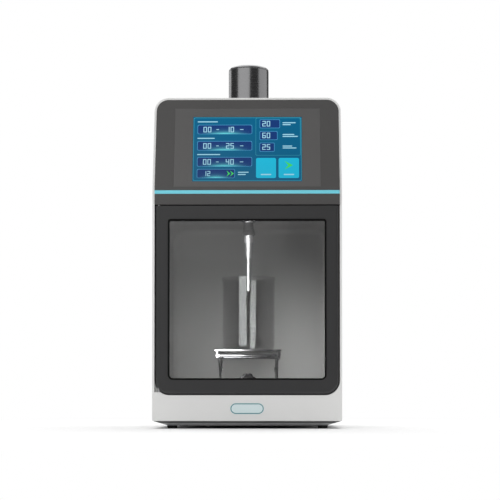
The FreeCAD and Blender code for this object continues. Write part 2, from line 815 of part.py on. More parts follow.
def pivots():
    """The door's two pins, their bushes and the steel bracket that holds the upper pin."""
    bracket_z, tongue_x, tongue_y = BRACKET_Z, TONGUE_X, TONGUE_Y
    upper_start = f"({DOOR_TOP} - pivot_in_door + 1)"
    upper = cylinder("upper_pin", PIVOT_X, PIVOT_Y, upper_start, "pivot_radius",
                     f"{bracket_z} + bracket_thick - {upper_start}")
    lower_start = f"({PIVOT_FOOT} - pivot_in_case)"
    lower = cylinder("lower_pin", PIVOT_X, PIVOT_Y, lower_start, "pivot_radius",
                     "pivot_in_case + pivot_in_door - 1")
    label(group("pins", [upper, lower]), "hinge_pins")

    bushes = []
    for start in (f"{DOOR_TOP} - bush_length - 0.5", f"{PIVOT_FOOT} + pivot_in_door - bush_length"):
        outer = cylinder("bush", PIVOT_X, PIVOT_Y, start,
                         "pivot_radius + bush_wall + pivot_play", "bush_length")
        bore = cylinder("bush_bore", PIVOT_X, PIVOT_Y, start,
                        "pivot_radius + pivot_play", "bush_length")
        bushes.append(cut("pivot_bush", outer, [bore]))
    label(group("bushes", bushes), "hinge_bushes")

    rear_y = f"({FACE_Y} + head_depth + 2)"
    plates = [
        box("tongue", tongue_x, tongue_y, bracket_z, "bracket_width",
            f"{rear_y} - {tongue_y}", "bracket_thick"),
        box("shelf", f"-{INNER_HALF}", rear_y, bracket_z,
            f"{tongue_x} + {INNER_HALF} + bracket_width", "bracket_length", "bracket_thick"),
        box("side_leaf", f"-{INNER_HALF}", rear_y, bracket_z,
            "bracket_thick", "bracket_length", "bracket_length"),
    ]
    hole = cylinder("bracket_hole", PIVOT_X, PIVOT_Y, bracket_z, "pivot_radius", "bracket_thick")
    label(cut("bracket", fused("bracket_form", plates), [hole]), "hinge_bracket")


def control_head():
    """Dark leaning fascia with the accent strip, the overlay, the display and its boards."""
    body = new_body("head_fascia")
    side_view = [
        (FACE_Y, HEAD_LOW),
        (f"{FACE_Y} + head_depth", HEAD_LOW),
        (f"{FACE_Y} + head_depth", "bend_height", "bend_round"),
        (leaning_y(HEAD_TOP, "head_depth"), HEAD_TOP),
        (leaning_y(HEAD_TOP), HEAD_TOP),
        (FACE_Y, "bend_height", "bend_round"),
    ]
    pad(body, "YZ_Plane", [side_view], f"{HEAD_HALF} * 2", both=True)
    round_long_edges(body, HEAD_TOP, f"{INNER_CORNER} - head_play")
    inner_low = f"({HEAD_LOW} + head_wall)"
    inner_top = f"({HEAD_TOP} - head_wall)"
    behind = "head_depth + head_wall"
    hollow_side = [
        (f"{FACE_Y} + head_wall", inner_low),
        (f"{FACE_Y} + {behind}", inner_low),
        (f"{FACE_Y} + {behind}", "bend_height", "bend_round"),
        (leaning_y(inner_top, behind), inner_top),
        (leaning_y(inner_top, "head_wall"), inner_top),
        (f"{FACE_Y} + head_wall", "bend_height", "bend_round"),
    ]
    width = f"({HEAD_HALF} - {INNER_CORNER}) * 2"
    pocket(body, "YZ_Plane", [hollow_side], width, both=True)
    shoulder = f"({HEAD_TOP} - {INNER_CORNER})"
    low_side = hollow_side[:3] + [
        (leaning_y(shoulder, behind), shoulder),
        (leaning_y(shoulder, "head_wall"), shoulder),
    ] + hollow_side[5:]
    pocket(body, "YZ_Plane", [low_side], f"({HEAD_HALF} - head_wall) * 2", both=True)
    groove = rectangle(FACE_Y, f"{FACE_Y} + strip_depth",
                       "strip_height - strip_tall / 2", "strip_height + strip_tall / 2")
    pocket(body, "YZ_Plane", [groove], f"{HEAD_HALF} * 2", both=True)
    pin_hole = (PIVOT_X, PIVOT_Y, "pivot_radius + 0.3")
    pocket(body, "XY_Plane", [pin_hole], "head_wall + 1", f"{inner_low}")
    seat = rectangle(f"{TONGUE_X} - head_play", f"{TONGUE_X} + bracket_width + head_play",
                     f"{TONGUE_Y} - 0.1", f"{FACE_Y} + head_wall + 1")
    pocket(body, "XY_Plane", [seat], "bracket_thick + 0.6", f"{BRACKET_Z} + bracket_thick + 0.4")
    document.recompute()

    opening = leaning_box("head_opening", "display_width / 2", "display_start",
                          "display_tall", "-1", "head_wall + 2")
    field = leaning_box("head_field", "membrane_width / 2", "membrane_start",
                        "membrane_tall", "-1", "1 + membrane_thick")
    label(cut("fascia", body, [opening, field]), "head_fascia")

    strip = box("strip", f"-{HEAD_HALF}", FACE_Y, "strip_height - strip_tall / 2",
                f"{HEAD_HALF} * 2", "strip_depth", "strip_tall")
    label_placed(strip, "accent_strip")

    overlay = leaning_box("overlay", "membrane_width / 2", "membrane_start", "membrane_tall",
                          "0", "membrane_thick")
    window = leaning_box("overlay_window", "display_width / 2", "display_start", "display_tall",
                         "-1", "3")
    label(cut("overlay_cut", overlay, [window]), "front_overlay")

    label_placed(leaning_box("display_glass", "display_width / 2 - 0.2", "display_start + 0.2",
                             "display_tall - 0.4", "glass_sink", "glass_thick"), "display_glass")
    module_back = "(glass_sink + glass_thick)"
    front = leaning_box("module_front", "display_width / 2 - 0.2", "display_start + 0.2",
                        "display_tall - 0.4", module_back, "panel_thick")
    bezel = leaning_box("module_back", "display_width / 2 + display_border",
                        "display_start - display_border", "display_tall + display_border * 2",
                        "head_wall", f"{module_back} + panel_thick - head_wall")
    posts = []
    for side in (-1, 1):
        for up in ("display_start + 6", "display_start + display_tall - 6"):
            posts.append(leaning_post(f"{side} * (display_width / 2 - 4)", up,
                                      f"{module_back} + panel_thick - 0.5", "board_standoff + 0.5"))
    label(fused("module", [front, bezel] + posts), "display_module")
    board_front = f"({module_back} + panel_thick + board_standoff)"
    board = leaning_box("board", "display_width / 2 + display_border",
                        "display_start", "display_tall", board_front, "board_thick")
    label_placed(board, "display_board")


def leaning_place(item, across, up, back, angle="lean"):
    """Set an item on the leaning face: across, up the slope, back from it, and turned."""
    turn(item, -X_AXIS, angle)
    item.setExpression("Placement.Base.x", bound(across))
    item.setExpression(
        "Placement.Base.y", bound(f"{FACE_Y} + ({up}) * sin(lean) + ({back}) * cos(lean)"))
    item.setExpression(
        "Placement.Base.z", bound(f"bend_height + ({up}) * cos(lean) - ({back}) * sin(lean)"))
    return item


def leaning_box(name, half, start, tall, back, thick):
    """A block on the leaning face, from a distance behind it."""
    item = document.addObject("Part::Box", name)
    item.setExpression("Length", bound(f"({half}) * 2"))
    item.setExpression("Width", bound(thick))
    item.setExpression("Height", bound(tall))
    return leaning_place(item, f"-({half})", start, back)


def leaning_post(across, up, back, length):
    """A round post that stands square to the leaning face."""
    item = document.addObject("Part::Cylinder", "post")
    item.setExpression("Radius", bound("board_standoff / 2"))
    item.setExpression("Height", bound(length))
    return leaning_place(item, across, up, back, "90 + lean")


def badge():
    """Blank pill-shaped badge on the front of the base."""
    body = new_body("badge_plate")
    outline = rectangle(
        "-badge_width / 2", "badge_width / 2", "badge_height - badge_tall / 2",
        "badge_height + badge_tall / 2", "badge_tall * 0.49", "badge_tall * 0.49")
    pad(body, "XZ_Plane", [outline], "badge_thick", f"-{CASE_FRONT_Y}")
    label(body, "badge_plate")


def chamber():
    """Moulded chamber liner with round inner edges, its front frame and the rails under it."""
    body = new_body("chamber_liner")
    outer = rectangle(
        "-chamber_width / 2 - chamber_wall", "chamber_width / 2 + chamber_wall",
        LINER_LOW, LINER_TOP, "chamber_round * 0.5 + chamber_wall",
        "chamber_round + chamber_wall")
    depth = "chamber_depth"
    pad(body, "XZ_Plane", [outer], depth, f"-{LINER_REAR_Y}")
    inner = rectangle(
        "-chamber_width / 2", "chamber_width / 2", "chamber_floor", "chamber_ceiling",
        "chamber_round * 0.5", "chamber_round")
    pocket(body, "XZ_Plane", [inner], depth, f"-({LINER_REAR_Y} - chamber_wall)", flipped=True)
    hole = ("0", "probe_y", "collar_neck + collar_play")
    pocket(body, "XY_Plane", [hole], "chamber_wall * 3", f"{LINER_TOP} + 1")
    document.recompute()
    round_back_edges(body)
    for side in (-1, 1):
        for step in ("0", "rail_width"):
            left = f"{side} * (rail_spread / 2 - {step})"
            skid = rectangle(f"{left} - rail_wall / 2", f"{left} + rail_wall / 2",
                             FLOOR_TOP, f"{LINER_LOW} + 0.5")
            pad(body, "XZ_Plane", [skid], "chamber_depth - 20", f"-({LINER_REAR_Y} - 10)")
        for up in ("generator_low + 8", "generator_low + generator_tall - 8"):
            boss = (f"{side} * (generator_width / 2 - 8)", up, "3")
            pad(body, "XZ_Plane", [boss], "generator_off + 0.5", f"-({LINER_REAR_Y} + generator_off)")
    label(body, "chamber_liner")

    outer = rectangle(f"-{INNER_HALF} + head_play", f"{INNER_HALF} - head_play",
                      f"{LEDGE_BOTTOM} + 1", f"{HEAD_LOW} + head_wall - head_play")
    inner = rectangle("-opening_width / 2", "opening_width / 2", "opening_bottom", "opening_top",
                      "opening_corner", "opening_corner")
    ring("chamber_frame", outer, inner, "frame_thick", FRAME_REAR_Y)


def round_back_edges(body):
    """Round the liner's inner back edges, where the rear wall meets the sides."""
    rear = value(f"{LINER_REAR_Y} - chamber_wall")
    fillet(body, "chamber_round * 0.45",
           lambda edge: near(edge.YMin, rear) and near(edge.YMax, rear))


def transducer():
    """Round housing with its lid, the piezo stack, the horn, its boot and the screwed-on tip."""
    collar = [
        ("collar_bore", "chamber_ceiling - collar_drop"),
        ("collar_radius - 1", "chamber_ceiling - collar_drop"),
        ("collar_radius", "chamber_ceiling - collar_drop + 1"),
        ("collar_radius", "chamber_ceiling"),
        ("collar_neck", "chamber_ceiling"),
        ("collar_neck", f"{LINER_TOP} + 3"),
        ("collar_bore", f"{LINER_TOP} + 3"),
    ]
    label(revolved("horn_collar", collar), "horn_collar", y="probe_y")

    inner = "(housing_radius + seat_play)"
    seat = [
        ("collar_neck + collar_play", LINER_TOP),
        (f"{inner} + seat_wall + 6", LINER_TOP),
        (f"{inner} + seat_wall + 6", f"{LINER_TOP} + 3"),
        (f"{inner} + seat_wall", f"{LINER_TOP} + 3"),
        (f"{inner} + seat_wall", f"{LINER_TOP} + seat_tall"),
        (inner, f"{LINER_TOP} + seat_tall"),
        (inner, "housing_bottom"),
        ("collar_neck + collar_play", "housing_bottom"),
    ]
    label(revolved("transducer_seat", seat), "transducer_seat", y="probe_y")

    hole = "(housing_radius + case_hole_play)"
    seal = [
        ("housing_radius + seal_play", f"{INNER_TOP} - 1.5"),
        (f"{hole} + seal_lip", f"{INNER_TOP} - 1.5"),
        (f"{hole} + seal_lip", INNER_TOP),
        (hole, INNER_TOP),
        (hole, "case_height"),
        (f"{hole} + seal_lip", "case_height"),
        (f"{hole} + seal_lip - 1", "case_height + 1.5"),
        ("housing_radius + seal_play", "case_height + 1.5"),
    ]
    label(revolved("roof_seal", seal), "roof_seal", y="probe_y")

    bore = "(housing_radius - housing_wall)"
    housing = [
        ("collar_neck + 2", "housing_bottom"),
        ("housing_radius", "housing_bottom"),
        ("housing_radius", "housing_top - lid_bevel * 2"),
        (bore, "housing_top - lid_bevel * 2"),
        (bore, "housing_bottom + housing_wall"),
        ("collar_neck + 2", "housing_bottom + housing_wall"),
    ]
    label(revolved("transducer_housing", housing), "transducer_housing", y="probe_y")
    lid = [
        ("0", "housing_top - lid_thick - 2"),
        (bore, "housing_top - lid_thick - 2"),
        (bore, "housing_top - lid_bevel * 2"),
        ("housing_radius", "housing_top - lid_bevel * 2"),
        ("housing_radius", "housing_top - lid_bevel"),
        ("housing_radius - lid_bevel", "housing_top"),
        ("0", "housing_top"),
    ]
    label(revolved("housing_lid", lid), "housing_lid", y="probe_y")

    horn = [
        ("0", "stem_low"),
        ("stem_radius - 0.6", "stem_low"),
        ("stem_radius", "stem_low + 0.6"),
        ("stem_radius + 0.3", "flange_low"),
        ("flange_radius", "flange_low"),
        ("flange_radius", "flange_high"),
        ("horn_neck_radius - 1", "flange_high"),
        ("horn_neck_radius - 1", "ring_low"),
        ("ring_radius", "ring_low"),
        ("ring_radius", "ring_high"),
        ("horn_neck_radius", "ring_high"),
        ("horn_neck_radius", "boot_high + 4"),
        ("collar_bore - 2", f"{LINER_TOP} + 6"),
        ("collar_bore - 2", "horn_waist"),
        ("stack_radius - 1", "horn_shoulder", "12"),
        ("stack_radius - 1", "horn_top"),
        ("0", "horn_top"),
    ]
    label(revolved("horn", horn), "horn", y="probe_y")
    boot = [
        ("horn_neck_radius", "boot_low"),
        ("boot_radius", "boot_low"),
        ("boot_radius", "boot_low + 4", "3"),
        ("boot_top_radius", "boot_high"),
        ("horn_neck_radius", "boot_high"),
    ]
    label(revolved("horn_boot", boot), "horn_boot", y="probe_y")
    tip = [
        ("0", "tip_low"),
        ("tip_radius", "tip_low"),
        ("tip_radius", "tip_joint - 0.3"),
        ("tip_radius - 0.35", "tip_joint"),
        ("tip_radius", "tip_joint + 0.3"),
        ("tip_radius", "stem_low - tip_collar"),
        ("tip_radius - 0.4", "stem_low - tip_collar"),
        ("tip_radius - 0.4", "stem_low - 2"),
        ("tip_radius + 0.6", "stem_low - 2"),
        ("tip_radius + 0.6", "stem_low"),
        ("0", "stem_low"),
    ]
    label(revolved("horn_tip", tip), "horn_tip", y="probe_y")

    stack_low = "horn_top"
    front_top = f"({stack_low} + front_mass_length)"
    flange = [
        ("stack_bolt_radius", stack_low),
        ("stack_radius", stack_low),
        ("stack_radius", f"{stack_low} + 6"),
        (bore, f"{stack_low} + 8"),
        (bore, f"{stack_low} + 13"),
        ("stack_radius", f"{stack_low} + 15"),
        ("stack_radius", front_top),
        ("stack_bolt_radius", front_top),
    ]
    label(revolved("front_mass", flange), "front_mass", y="probe_y")
    rings = []
    electrodes = []
    step = "(ring_thick + electrode_thick)"
    for index in range(int(SIZES["ring_count"])):
        low = f"({front_top} + {index} * {step})"
        outer = cylinder("piezo", "0", "probe_y", low, "stack_radius", "ring_thick")
        inner_hole = cylinder("piezo_hole", "0", "probe_y", low, "stack_bore", "ring_thick")
        rings.append(cut("piezo_ring", outer, [inner_hole]))
        low = f"({front_top} + {index} * {step} + ring_thick)"
        outer = cylinder("sheet", "0", "probe_y", low, "stack_radius", "electrode_thick")
        tab = box("sheet_tab", "-3", "probe_y + stack_radius - 2", low,
                  "6", "7", "electrode_thick")
        inner_hole = cylinder("sheet_hole", "0", "probe_y", low, "stack_bore", "electrode_thick")
        electrodes.append(cut("electrode", fused("sheet_form", [outer, tab]), [inner_hole]))
    label(group("piezo", rings), "piezo_rings")
    label(group("electrode_set", electrodes), "electrodes")
    back_low = f"({front_top} + ring_count * {step})"
    back = [
        ("stack_bolt_radius", back_low),
        ("stack_radius", back_low),
        ("stack_radius", f"{back_low} + back_mass_length - 1"),
        ("stack_radius - 1", f"{back_low} + back_mass_length"),
        ("stack_bolt_radius", f"{back_low} + back_mass_length"),
    ]
    label(revolved("back_mass", back), "back_mass", y="probe_y")
    bolt = [
        ("0", stack_low),
        ("stack_bolt_radius", stack_low),
        ("stack_bolt_radius", f"{back_low} + back_mass_length"),
        ("stack_bolt_radius * 1.7", f"{back_low} + back_mass_length"),
        ("stack_bolt_radius * 1.7", f"{back_low} + back_mass_length + 9"),
        ("0", f"{back_low} + back_mass_length + 9"),
    ]
    label(revolved("stack_bolt", bolt), "stack_bolt", y="probe_y")


def jack_arm(name, x, direction, y, z, hole_radii):
    """A flat arm with round ends and three holes, turned about its lower pivot."""
    body = new_body(name)
    half = "arm_width / 2"
    start = f"{-direction} * ({half})"
    end = f"{direction} * (jack_arm + {half})"
    outline = rectangle(start, end, f"-({half})", half, "arm_width * 0.47", "arm_width * 0.47")
    pad(body, "YZ_Plane", [outline], "arm_thick")
    holes = []
    for share, radius in zip((0, 0.5, 1), hole_radii):
        holes.append((f"{direction * share} * jack_arm", "0", radius))
    pocket(body, "YZ_Plane", holes, "arm_thick * 3", both=True)
    turn(body, X_AXIS * direction, ARM_ANGLE)
    return placed(body, x, y, z)


def cross_shaft(name, y, z, half, core="shaft_radius", core_half="2", bores=()):
    """A round shaft along X with riveted ends, and a thicker middle where it has one."""
    journal = cylinder("journal", f"-({half})", y, z, "shaft_radius", f"({half}) * 2", "x")
    middle = cylinder("middle", f"-({core_half})", y, z, core, f"({core_half}) * 2", "x")
    heads = []
    for start in (f"{half}", f"-({half}) - rivet_length"):
        heads.append(cylinder("rivet", start, y, z, "rivet_radius", "rivet_length", "x"))
    body = fused(name + "_form", [journal, middle] + heads)
    if bores:
        body = cut(name, body, list(bores))
    return label(body, name)


def jack():
    """Scissor jack: base, two pairs of arms, four shafts, a screw with its knob, a top plate."""
    flange_out = f"({FLANGE_X} + jack_flange_thick)"
    plate_low = f"({PLATE_TOP} - jack_plate_thick)"
    flange_low = f"({PLATE_TOP} - jack_flange_drop)"
    body = new_body("jack_top_plate")
    profile = [
        ("-jack_width / 2", PLATE_TOP, "0.6"),
        ("-jack_width / 2", plate_low),
        (f"-{flange_out}", plate_low),
        (f"-{flange_out}", flange_low),
        (f"-{FLANGE_X}", flange_low),
        (f"-{FLANGE_X}", plate_low),
        (FLANGE_X, plate_low),
        (FLANGE_X, flange_low),
        (flange_out, flange_low),
        (flange_out, plate_low),
        ("jack_width / 2", plate_low),
        ("jack_width / 2", PLATE_TOP, "0.6"),
    ]
    pad(body, "XZ_Plane", [profile], "jack_front + jack_back", "-(probe_y + jack_back)")
    pocket(body, "YZ_Plane", [(PIVOT_REAR_Y, UPPER_Z, "shaft_radius")], "jack_width * 2", both=True)
    pocket(body, "YZ_Plane", [slide_slot(UPPER_Z)], "jack_width * 2", both=True)
    label(body, "jack_top_plate")

    body = new_body("jack_base")
    lug_top = f"({PIVOT_Z} + base_lug_above)"
    plate_top = f"({JACK_FLOOR} + jack_plate_thick)"
    profile = [
        (f"-{flange_out}", JACK_FLOOR),
        (flange_out, JACK_FLOOR),
        (flange_out, lug_top),
        (FLANGE_X, lug_top),
        (FLANGE_X, plate_top),
        (f"-{FLANGE_X}", plate_top),
        (f"-{FLANGE_X}", lug_top),
        (f"-{flange_out}", lug_top),
    ]
    pad(body, "XZ_Plane", [profile], "base_front + jack_back", "-(probe_y + jack_back)")
    front_plate = rectangle(f"-{FLANGE_X}", FLANGE_X, JACK_FLOOR, lug_top)
    pad(body, "XZ_Plane", [front_plate], "bearing_thick", f"-({BASE_FRONT_Y} + bearing_thick)")
    pocket(body, "YZ_Plane", [(PIVOT_REAR_Y, PIVOT_Z, "shaft_radius")], "jack_width * 2", both=True)
    pocket(body, "YZ_Plane", [slide_slot(PIVOT_Z)], "jack_width * 2", both=True)
    bearing = ("0", PIVOT_Z, "screw_radius + shaft_play")
    pocket(body, "XZ_Plane", [bearing], "bearing_thick * 2", f"-{BASE_FRONT_Y}")
    window = rectangle(f"-{FLANGE_X} + 14", f"{FLANGE_X} - 14",
                       "probe_y - base_front + 16", "probe_y + jack_back - 16", "6", "6")
    pocket(body, "XY_Plane", [window], "jack_plate_thick * 2", plate_top)
    label(body, "jack_base")

    pads = []
    for side in (-1, 1):
        for y in ("probe_y - base_front + 12", "probe_y + jack_back - 12"):
            pads.append(cylinder("jack_pad", f"{side} * ({FLANGE_X} - 8)", y, "chamber_floor",
                                 "5", "base_foot"))
    label(group("jack_pads", pads), "jack_feet")

    front_y = f"({PIVOT_REAR_Y} - {SPREAD})"
    loose = "shaft_radius + shaft_play"
    outer_arms = []
    inner_arms = []
    for side in (-1, 1):
        outer = OUTER_ARM_X if side > 0 else f"-{OUTER_ARM_X} - arm_thick"
        inner = INNER_ARM_X if side > 0 else f"-{INNER_ARM_X} - arm_thick"
        outer_arms.append(jack_arm("outer_arm", outer, -1, PIVOT_REAR_Y, PIVOT_Z,
                                   (loose, "shaft_radius", "shaft_radius")))
        inner_arms.append(jack_arm("inner_arm", inner, 1, front_y, PIVOT_Z, (loose, loose, loose)))
    label(group("outer_arms", outer_arms), "jack_outer_arms")
    label(group("inner_arms", inner_arms), "jack_inner_arms")

    reach = f"({flange_out} + slot_play)"
    screw_hole = cylinder("nut_thread", "0", f"{front_y} - bar_radius * 2", PIVOT_Z,
                          "screw_radius + screw_play", "bar_radius * 4", "y")
    core_half = f"({INNER_ARM_X} - arm_gap)"
    cross_shaft("jack_nut_shaft", front_y, PIVOT_Z, reach, "bar_radius", core_half, [screw_hole])
    end_hole = cylinder("end_bore", "0", f"{PIVOT_REAR_Y} - bar_radius * 2", PIVOT_Z,
                        "screw_end_radius + screw_play", "bar_radius * 4", "y")
    cross_shaft("jack_rear_shaft", PIVOT_REAR_Y, PIVOT_Z, reach, "bar_radius",
                core_half, [end_hole])
    cross_shaft("jack_upper_front_shaft", front_y, UPPER_Z, reach)
    cross_shaft("jack_upper_rear_shaft", PIVOT_REAR_Y, UPPER_Z, reach)
    middle_y = f"{PIVOT_REAR_Y} - {SPREAD} / 2"
    middle_z = f"{PIVOT_Z} + jack_rise / 2"
    pins = []
    for side in (-1, 1):
        start = f"{INNER_ARM_X} - 1" if side > 0 else f"-({OUTER_ARM_X} + arm_thick)"
        length = f"{OUTER_ARM_X} + arm_thick - {INNER_ARM_X} + 1"
        pin = cylinder("pin", start, middle_y, middle_z, "shaft_radius", length, "x")
        head_start = f"{INNER_ARM_X} - 1" if side > 0 else f"-{INNER_ARM_X}"
        head_shift = "-0.3" if side > 0 else "0.3"
        head = cylinder("pin_head", f"{head_start} + {head_shift}", middle_y, middle_z,
                        "rivet_radius", "1", "x")
        pins.append(fused("pivot_pin", [pin, head]))
    label(group("pivot_pins", pins), "jack_pivot_pins")

    knob_rear = f"({BASE_FRONT_Y} - knob_gap)"
    shoulder_y = f"({BASE_FRONT_Y} + bearing_thick + screw_play)"
    thread_end = f"({PIVOT_REAR_Y} - bar_radius - 1)"
    bars = [
        cylinder("screw_bar", "0", f"{knob_rear} - knob_length * 0.6", PIVOT_Z,
                 "screw_radius", f"{thread_end} - {knob_rear} + knob_length * 0.6", "y"),
        cylinder("screw_shoulder", "0", shoulder_y, PIVOT_Z, "thrust_radius", "thrust_length", "y"),
        cylinder("screw_end", "0", f"{thread_end}", PIVOT_Z, "screw_end_radius",
                 "bar_radius * 2 + 4", "y"),
    ]
    label(fused("screw", bars), "jack_screw")
    knob()


def slide_slot(height):
    """Slot for a sliding shaft, long enough for the jack's lowest and highest settings."""
    half = "(shaft_radius + slot_play)"
    return rectangle(
        f"{PIVOT_REAR_Y} - {SPREAD_LOW} - {half}", f"{PIVOT_REAR_Y} - {SPREAD_HIGH} + {half}",
        f"{height} - {half}", f"{height} + {half}", f"{half} * 0.9", f"{half} * 0.9")


def knob():
    """Fluted hand knob on the front end of the screw."""
    body = new_body("jack_knob")
    pad(body, "XZ_Plane", [("0", "0", "knob_radius")], "knob_length")
    flute = ("0", "knob_radius + knob_flute * 0.3", "knob_flute")
    notch = pocket(body, "XZ_Plane", [flute], "knob_length * 0.75", "knob_length")
    pattern = body.newObject("PartDesign::PolarPattern", "Flutes")
    pattern.Originals = [notch]
    pattern.Axis = (drawn_axis(body), [""])
    pattern.Angle = 360
    pattern.setExpression("Occurrences", bound("knob_flutes"))
    body.Tip = pattern
    document.recompute()
    bore = ("0", "0", "screw_radius")
    pocket(body, "XZ_Plane", [bore], "knob_length * 0.6", flipped=True)
    label(body, "jack_knob", y=f"{BASE_FRONT_Y} - knob_gap", z=PIVOT_Z)


def drawn_axis(body):
    """The body's own Y axis."""
    return [item for item in body.Origin.OriginFeatures if item.Role == "Y_Axis"][0]


def beaker():
    """Thin-walled glass beaker with a rounded foot and a rolled rim."""
    inner = "(beaker_radius - beaker_wall)"
    top = f"({PLATE_TOP} + beaker_tall)"
    inside = f"({PLATE_TOP} + beaker_floor)"
    profile = [
        ("0", PLATE_TOP),
        ("beaker_radius", PLATE_TOP, "beaker_round"),
        ("beaker_radius", f"{top} - rim_radius * 2"),
        ("beaker_radius + rim_radius", f"{top} - rim_radius", "0.6"),
        ("beaker_radius + rim_radius", top, "0.9"),
        (inner, top, "0.6"),
        (inner, inside, "beaker_round - beaker_wall"),
        ("0", inside),
    ]
    label(revolved("beaker", profile), "beaker", y="probe_y")


def rear_panel():
    """Steel rear panel with vent slots, a fan opening and cut-outs for the inlet and switch."""
    body = new_body("rear_panel")
    play = "head_play"
    outline = rectangle(
        f"-{INNER_HALF} + {play}", f"{INNER_HALF} - {play}", f"{FLOOR_TOP} + {play}",
        f"{INNER_TOP} - {play}", upper=f"{INNER_CORNER} - {play}")
    pad(body, "XZ_Plane", [outline], "rear_thick", f"-{REAR_PANEL_Y}")
    fan_hole = ("fan_x", "fan_z", "fan_bore")
    inlet = rectangle("inlet_x - inlet_width / 2", "inlet_x + inlet_width / 2",
                      "inlet_z - inlet_tall / 2 - drawer_tall", "inlet_z + inlet_tall / 2")
    rocker = rectangle("switch_x - switch_width / 2", "switch_x + switch_width / 2",
                       "inlet_z - switch_tall / 2", "inlet_z + switch_tall / 2")
    screws = [(x, z, "foot_screw_radius") for x, z in panel_screw_places()]
    pocket(body, "XZ_Plane", [fan_hole, inlet, rocker] + screws, "rear_thick",
           f"-{REAR_PANEL_Y}", flipped=True)
    for index in range(int(SIZES["vent_count"])):
        low = f"(vent_low + {index} * vent_pitch)"
        vent = rectangle("vent_x - vent_width / 2", "vent_x + vent_width / 2", low,
                         f"{low} + vent_tall", "vent_tall * 0.45", "vent_tall * 0.45")
        pocket(body, "XZ_Plane", [vent], "rear_thick", f"-{REAR_PANEL_Y}", flipped=True)
    label(body, "rear_panel")


def fan():
    """Axial fan: square frame with a hub on three spokes, a bladed rotor and a ring guard."""
    front_y = f"({REAR_INNER_Y} - fan_thick)"
    half = "fan_size / 2"
    body = new_body("fan_frame")
    outline = rectangle(f"fan_x - {half}", f"fan_x + {half}", f"fan_z - {half}", f"fan_z + {half}",
                        "6", "6")
    bore = ("fan_x", "fan_z", "fan_bore")
    pad(body, "XZ_Plane", [outline, bore], "fan_thick", f"-{REAR_INNER_Y}")
    stator = ("fan_x", "fan_z", "hub_radius - 1")
    pad(body, "XZ_Plane", [stator], "2", f"-({front_y} + 2)")
    for rise, name in (("4", "fan_bore + 1"), ("fan_bore * 2 + 2", "2")):
        spoke = rectangle(f"fan_x - ({name})", f"fan_x + {name}",
                          f"fan_z - ({rise}) / 2", f"fan_z + ({rise}) / 2")
        pad(body, "XZ_Plane", [spoke], "2", f"-({front_y} + 2)")
    pocket(body, "XZ_Plane", [("fan_x", "fan_z", "fan_shaft + shaft_play")], "2",
           f"-({front_y} + 2)", flipped=True)
    label(body, "fan_frame")

    blade_deep = "(fan_thick - 8)"
    hub = cylinder("hub", "fan_x", f"{front_y} + 3", "fan_z", "hub_radius", blade_deep, "y")
    shaft = cylinder("shaft", "fan_x", front_y, "fan_z", "fan_shaft", "4", "y")
    blades = []
    count = int(SIZES["blade_count"])
    for index in range(count):
        angle = 360.0 / count * (index + 0.5)
        blade = document.addObject("Part::Box", "blade")
        blade.setExpression("Length", bound("blade_radius - blade_root"))
        blade.setExpression("Width", bound(f"{blade_deep} * 0.95"))
        blade.setExpression("Height", bound("blade_thick"))
        spin = FreeCAD.Rotation(FreeCAD.Vector(0, 1, 0), angle)
        pitch = FreeCAD.Rotation(X_AXIS, 38)
        blade.Placement = FreeCAD.Placement(FreeCAD.Vector(), spin.multiply(pitch))
        blade.setExpression("Placement.Base.x", bound(f"fan_x + blade_root * cos({angle} deg)"))
        blade.setExpression("Placement.Base.y", bound(f"{front_y} + 4.5"))
        blade.setExpression("Placement.Base.z", bound(f"fan_z - blade_root * sin({angle} deg)"))
        blades.append(blade)
    label(fused("rotor", [hub, shaft] + blades), "fan_rotor")

    body = new_body("fan_guard")
    rings = []
    radius = "hub_radius - 4"
    for index in range(3):
        rings.append(("fan_x", "fan_z", f"{radius} + {index} * guard_pitch"))
        rings.append(("fan_x", "fan_z", f"{radius} + {index} * guard_pitch + guard_ring"))
    pad(body, "XZ_Plane", rings, "guard_thick", f"-({REAR_PANEL_Y} + guard_thick)")
    reach = "(fan_size / 2 - 2)"
    across = rectangle(f"fan_x - {reach}", f"fan_x + {reach}", "fan_z - 1", "fan_z + 1")
    upright = rectangle("fan_x - 1", "fan_x + 1", f"fan_z - {reach}", f"fan_z + {reach}")
    pad(body, "XZ_Plane", [across], "guard_thick", f"-({REAR_PANEL_Y} + guard_thick)")
    pad(body, "XZ_Plane", [upright], "guard_thick", f"-({REAR_PANEL_Y} + guard_thick)")
    label(body, "fan_guard")


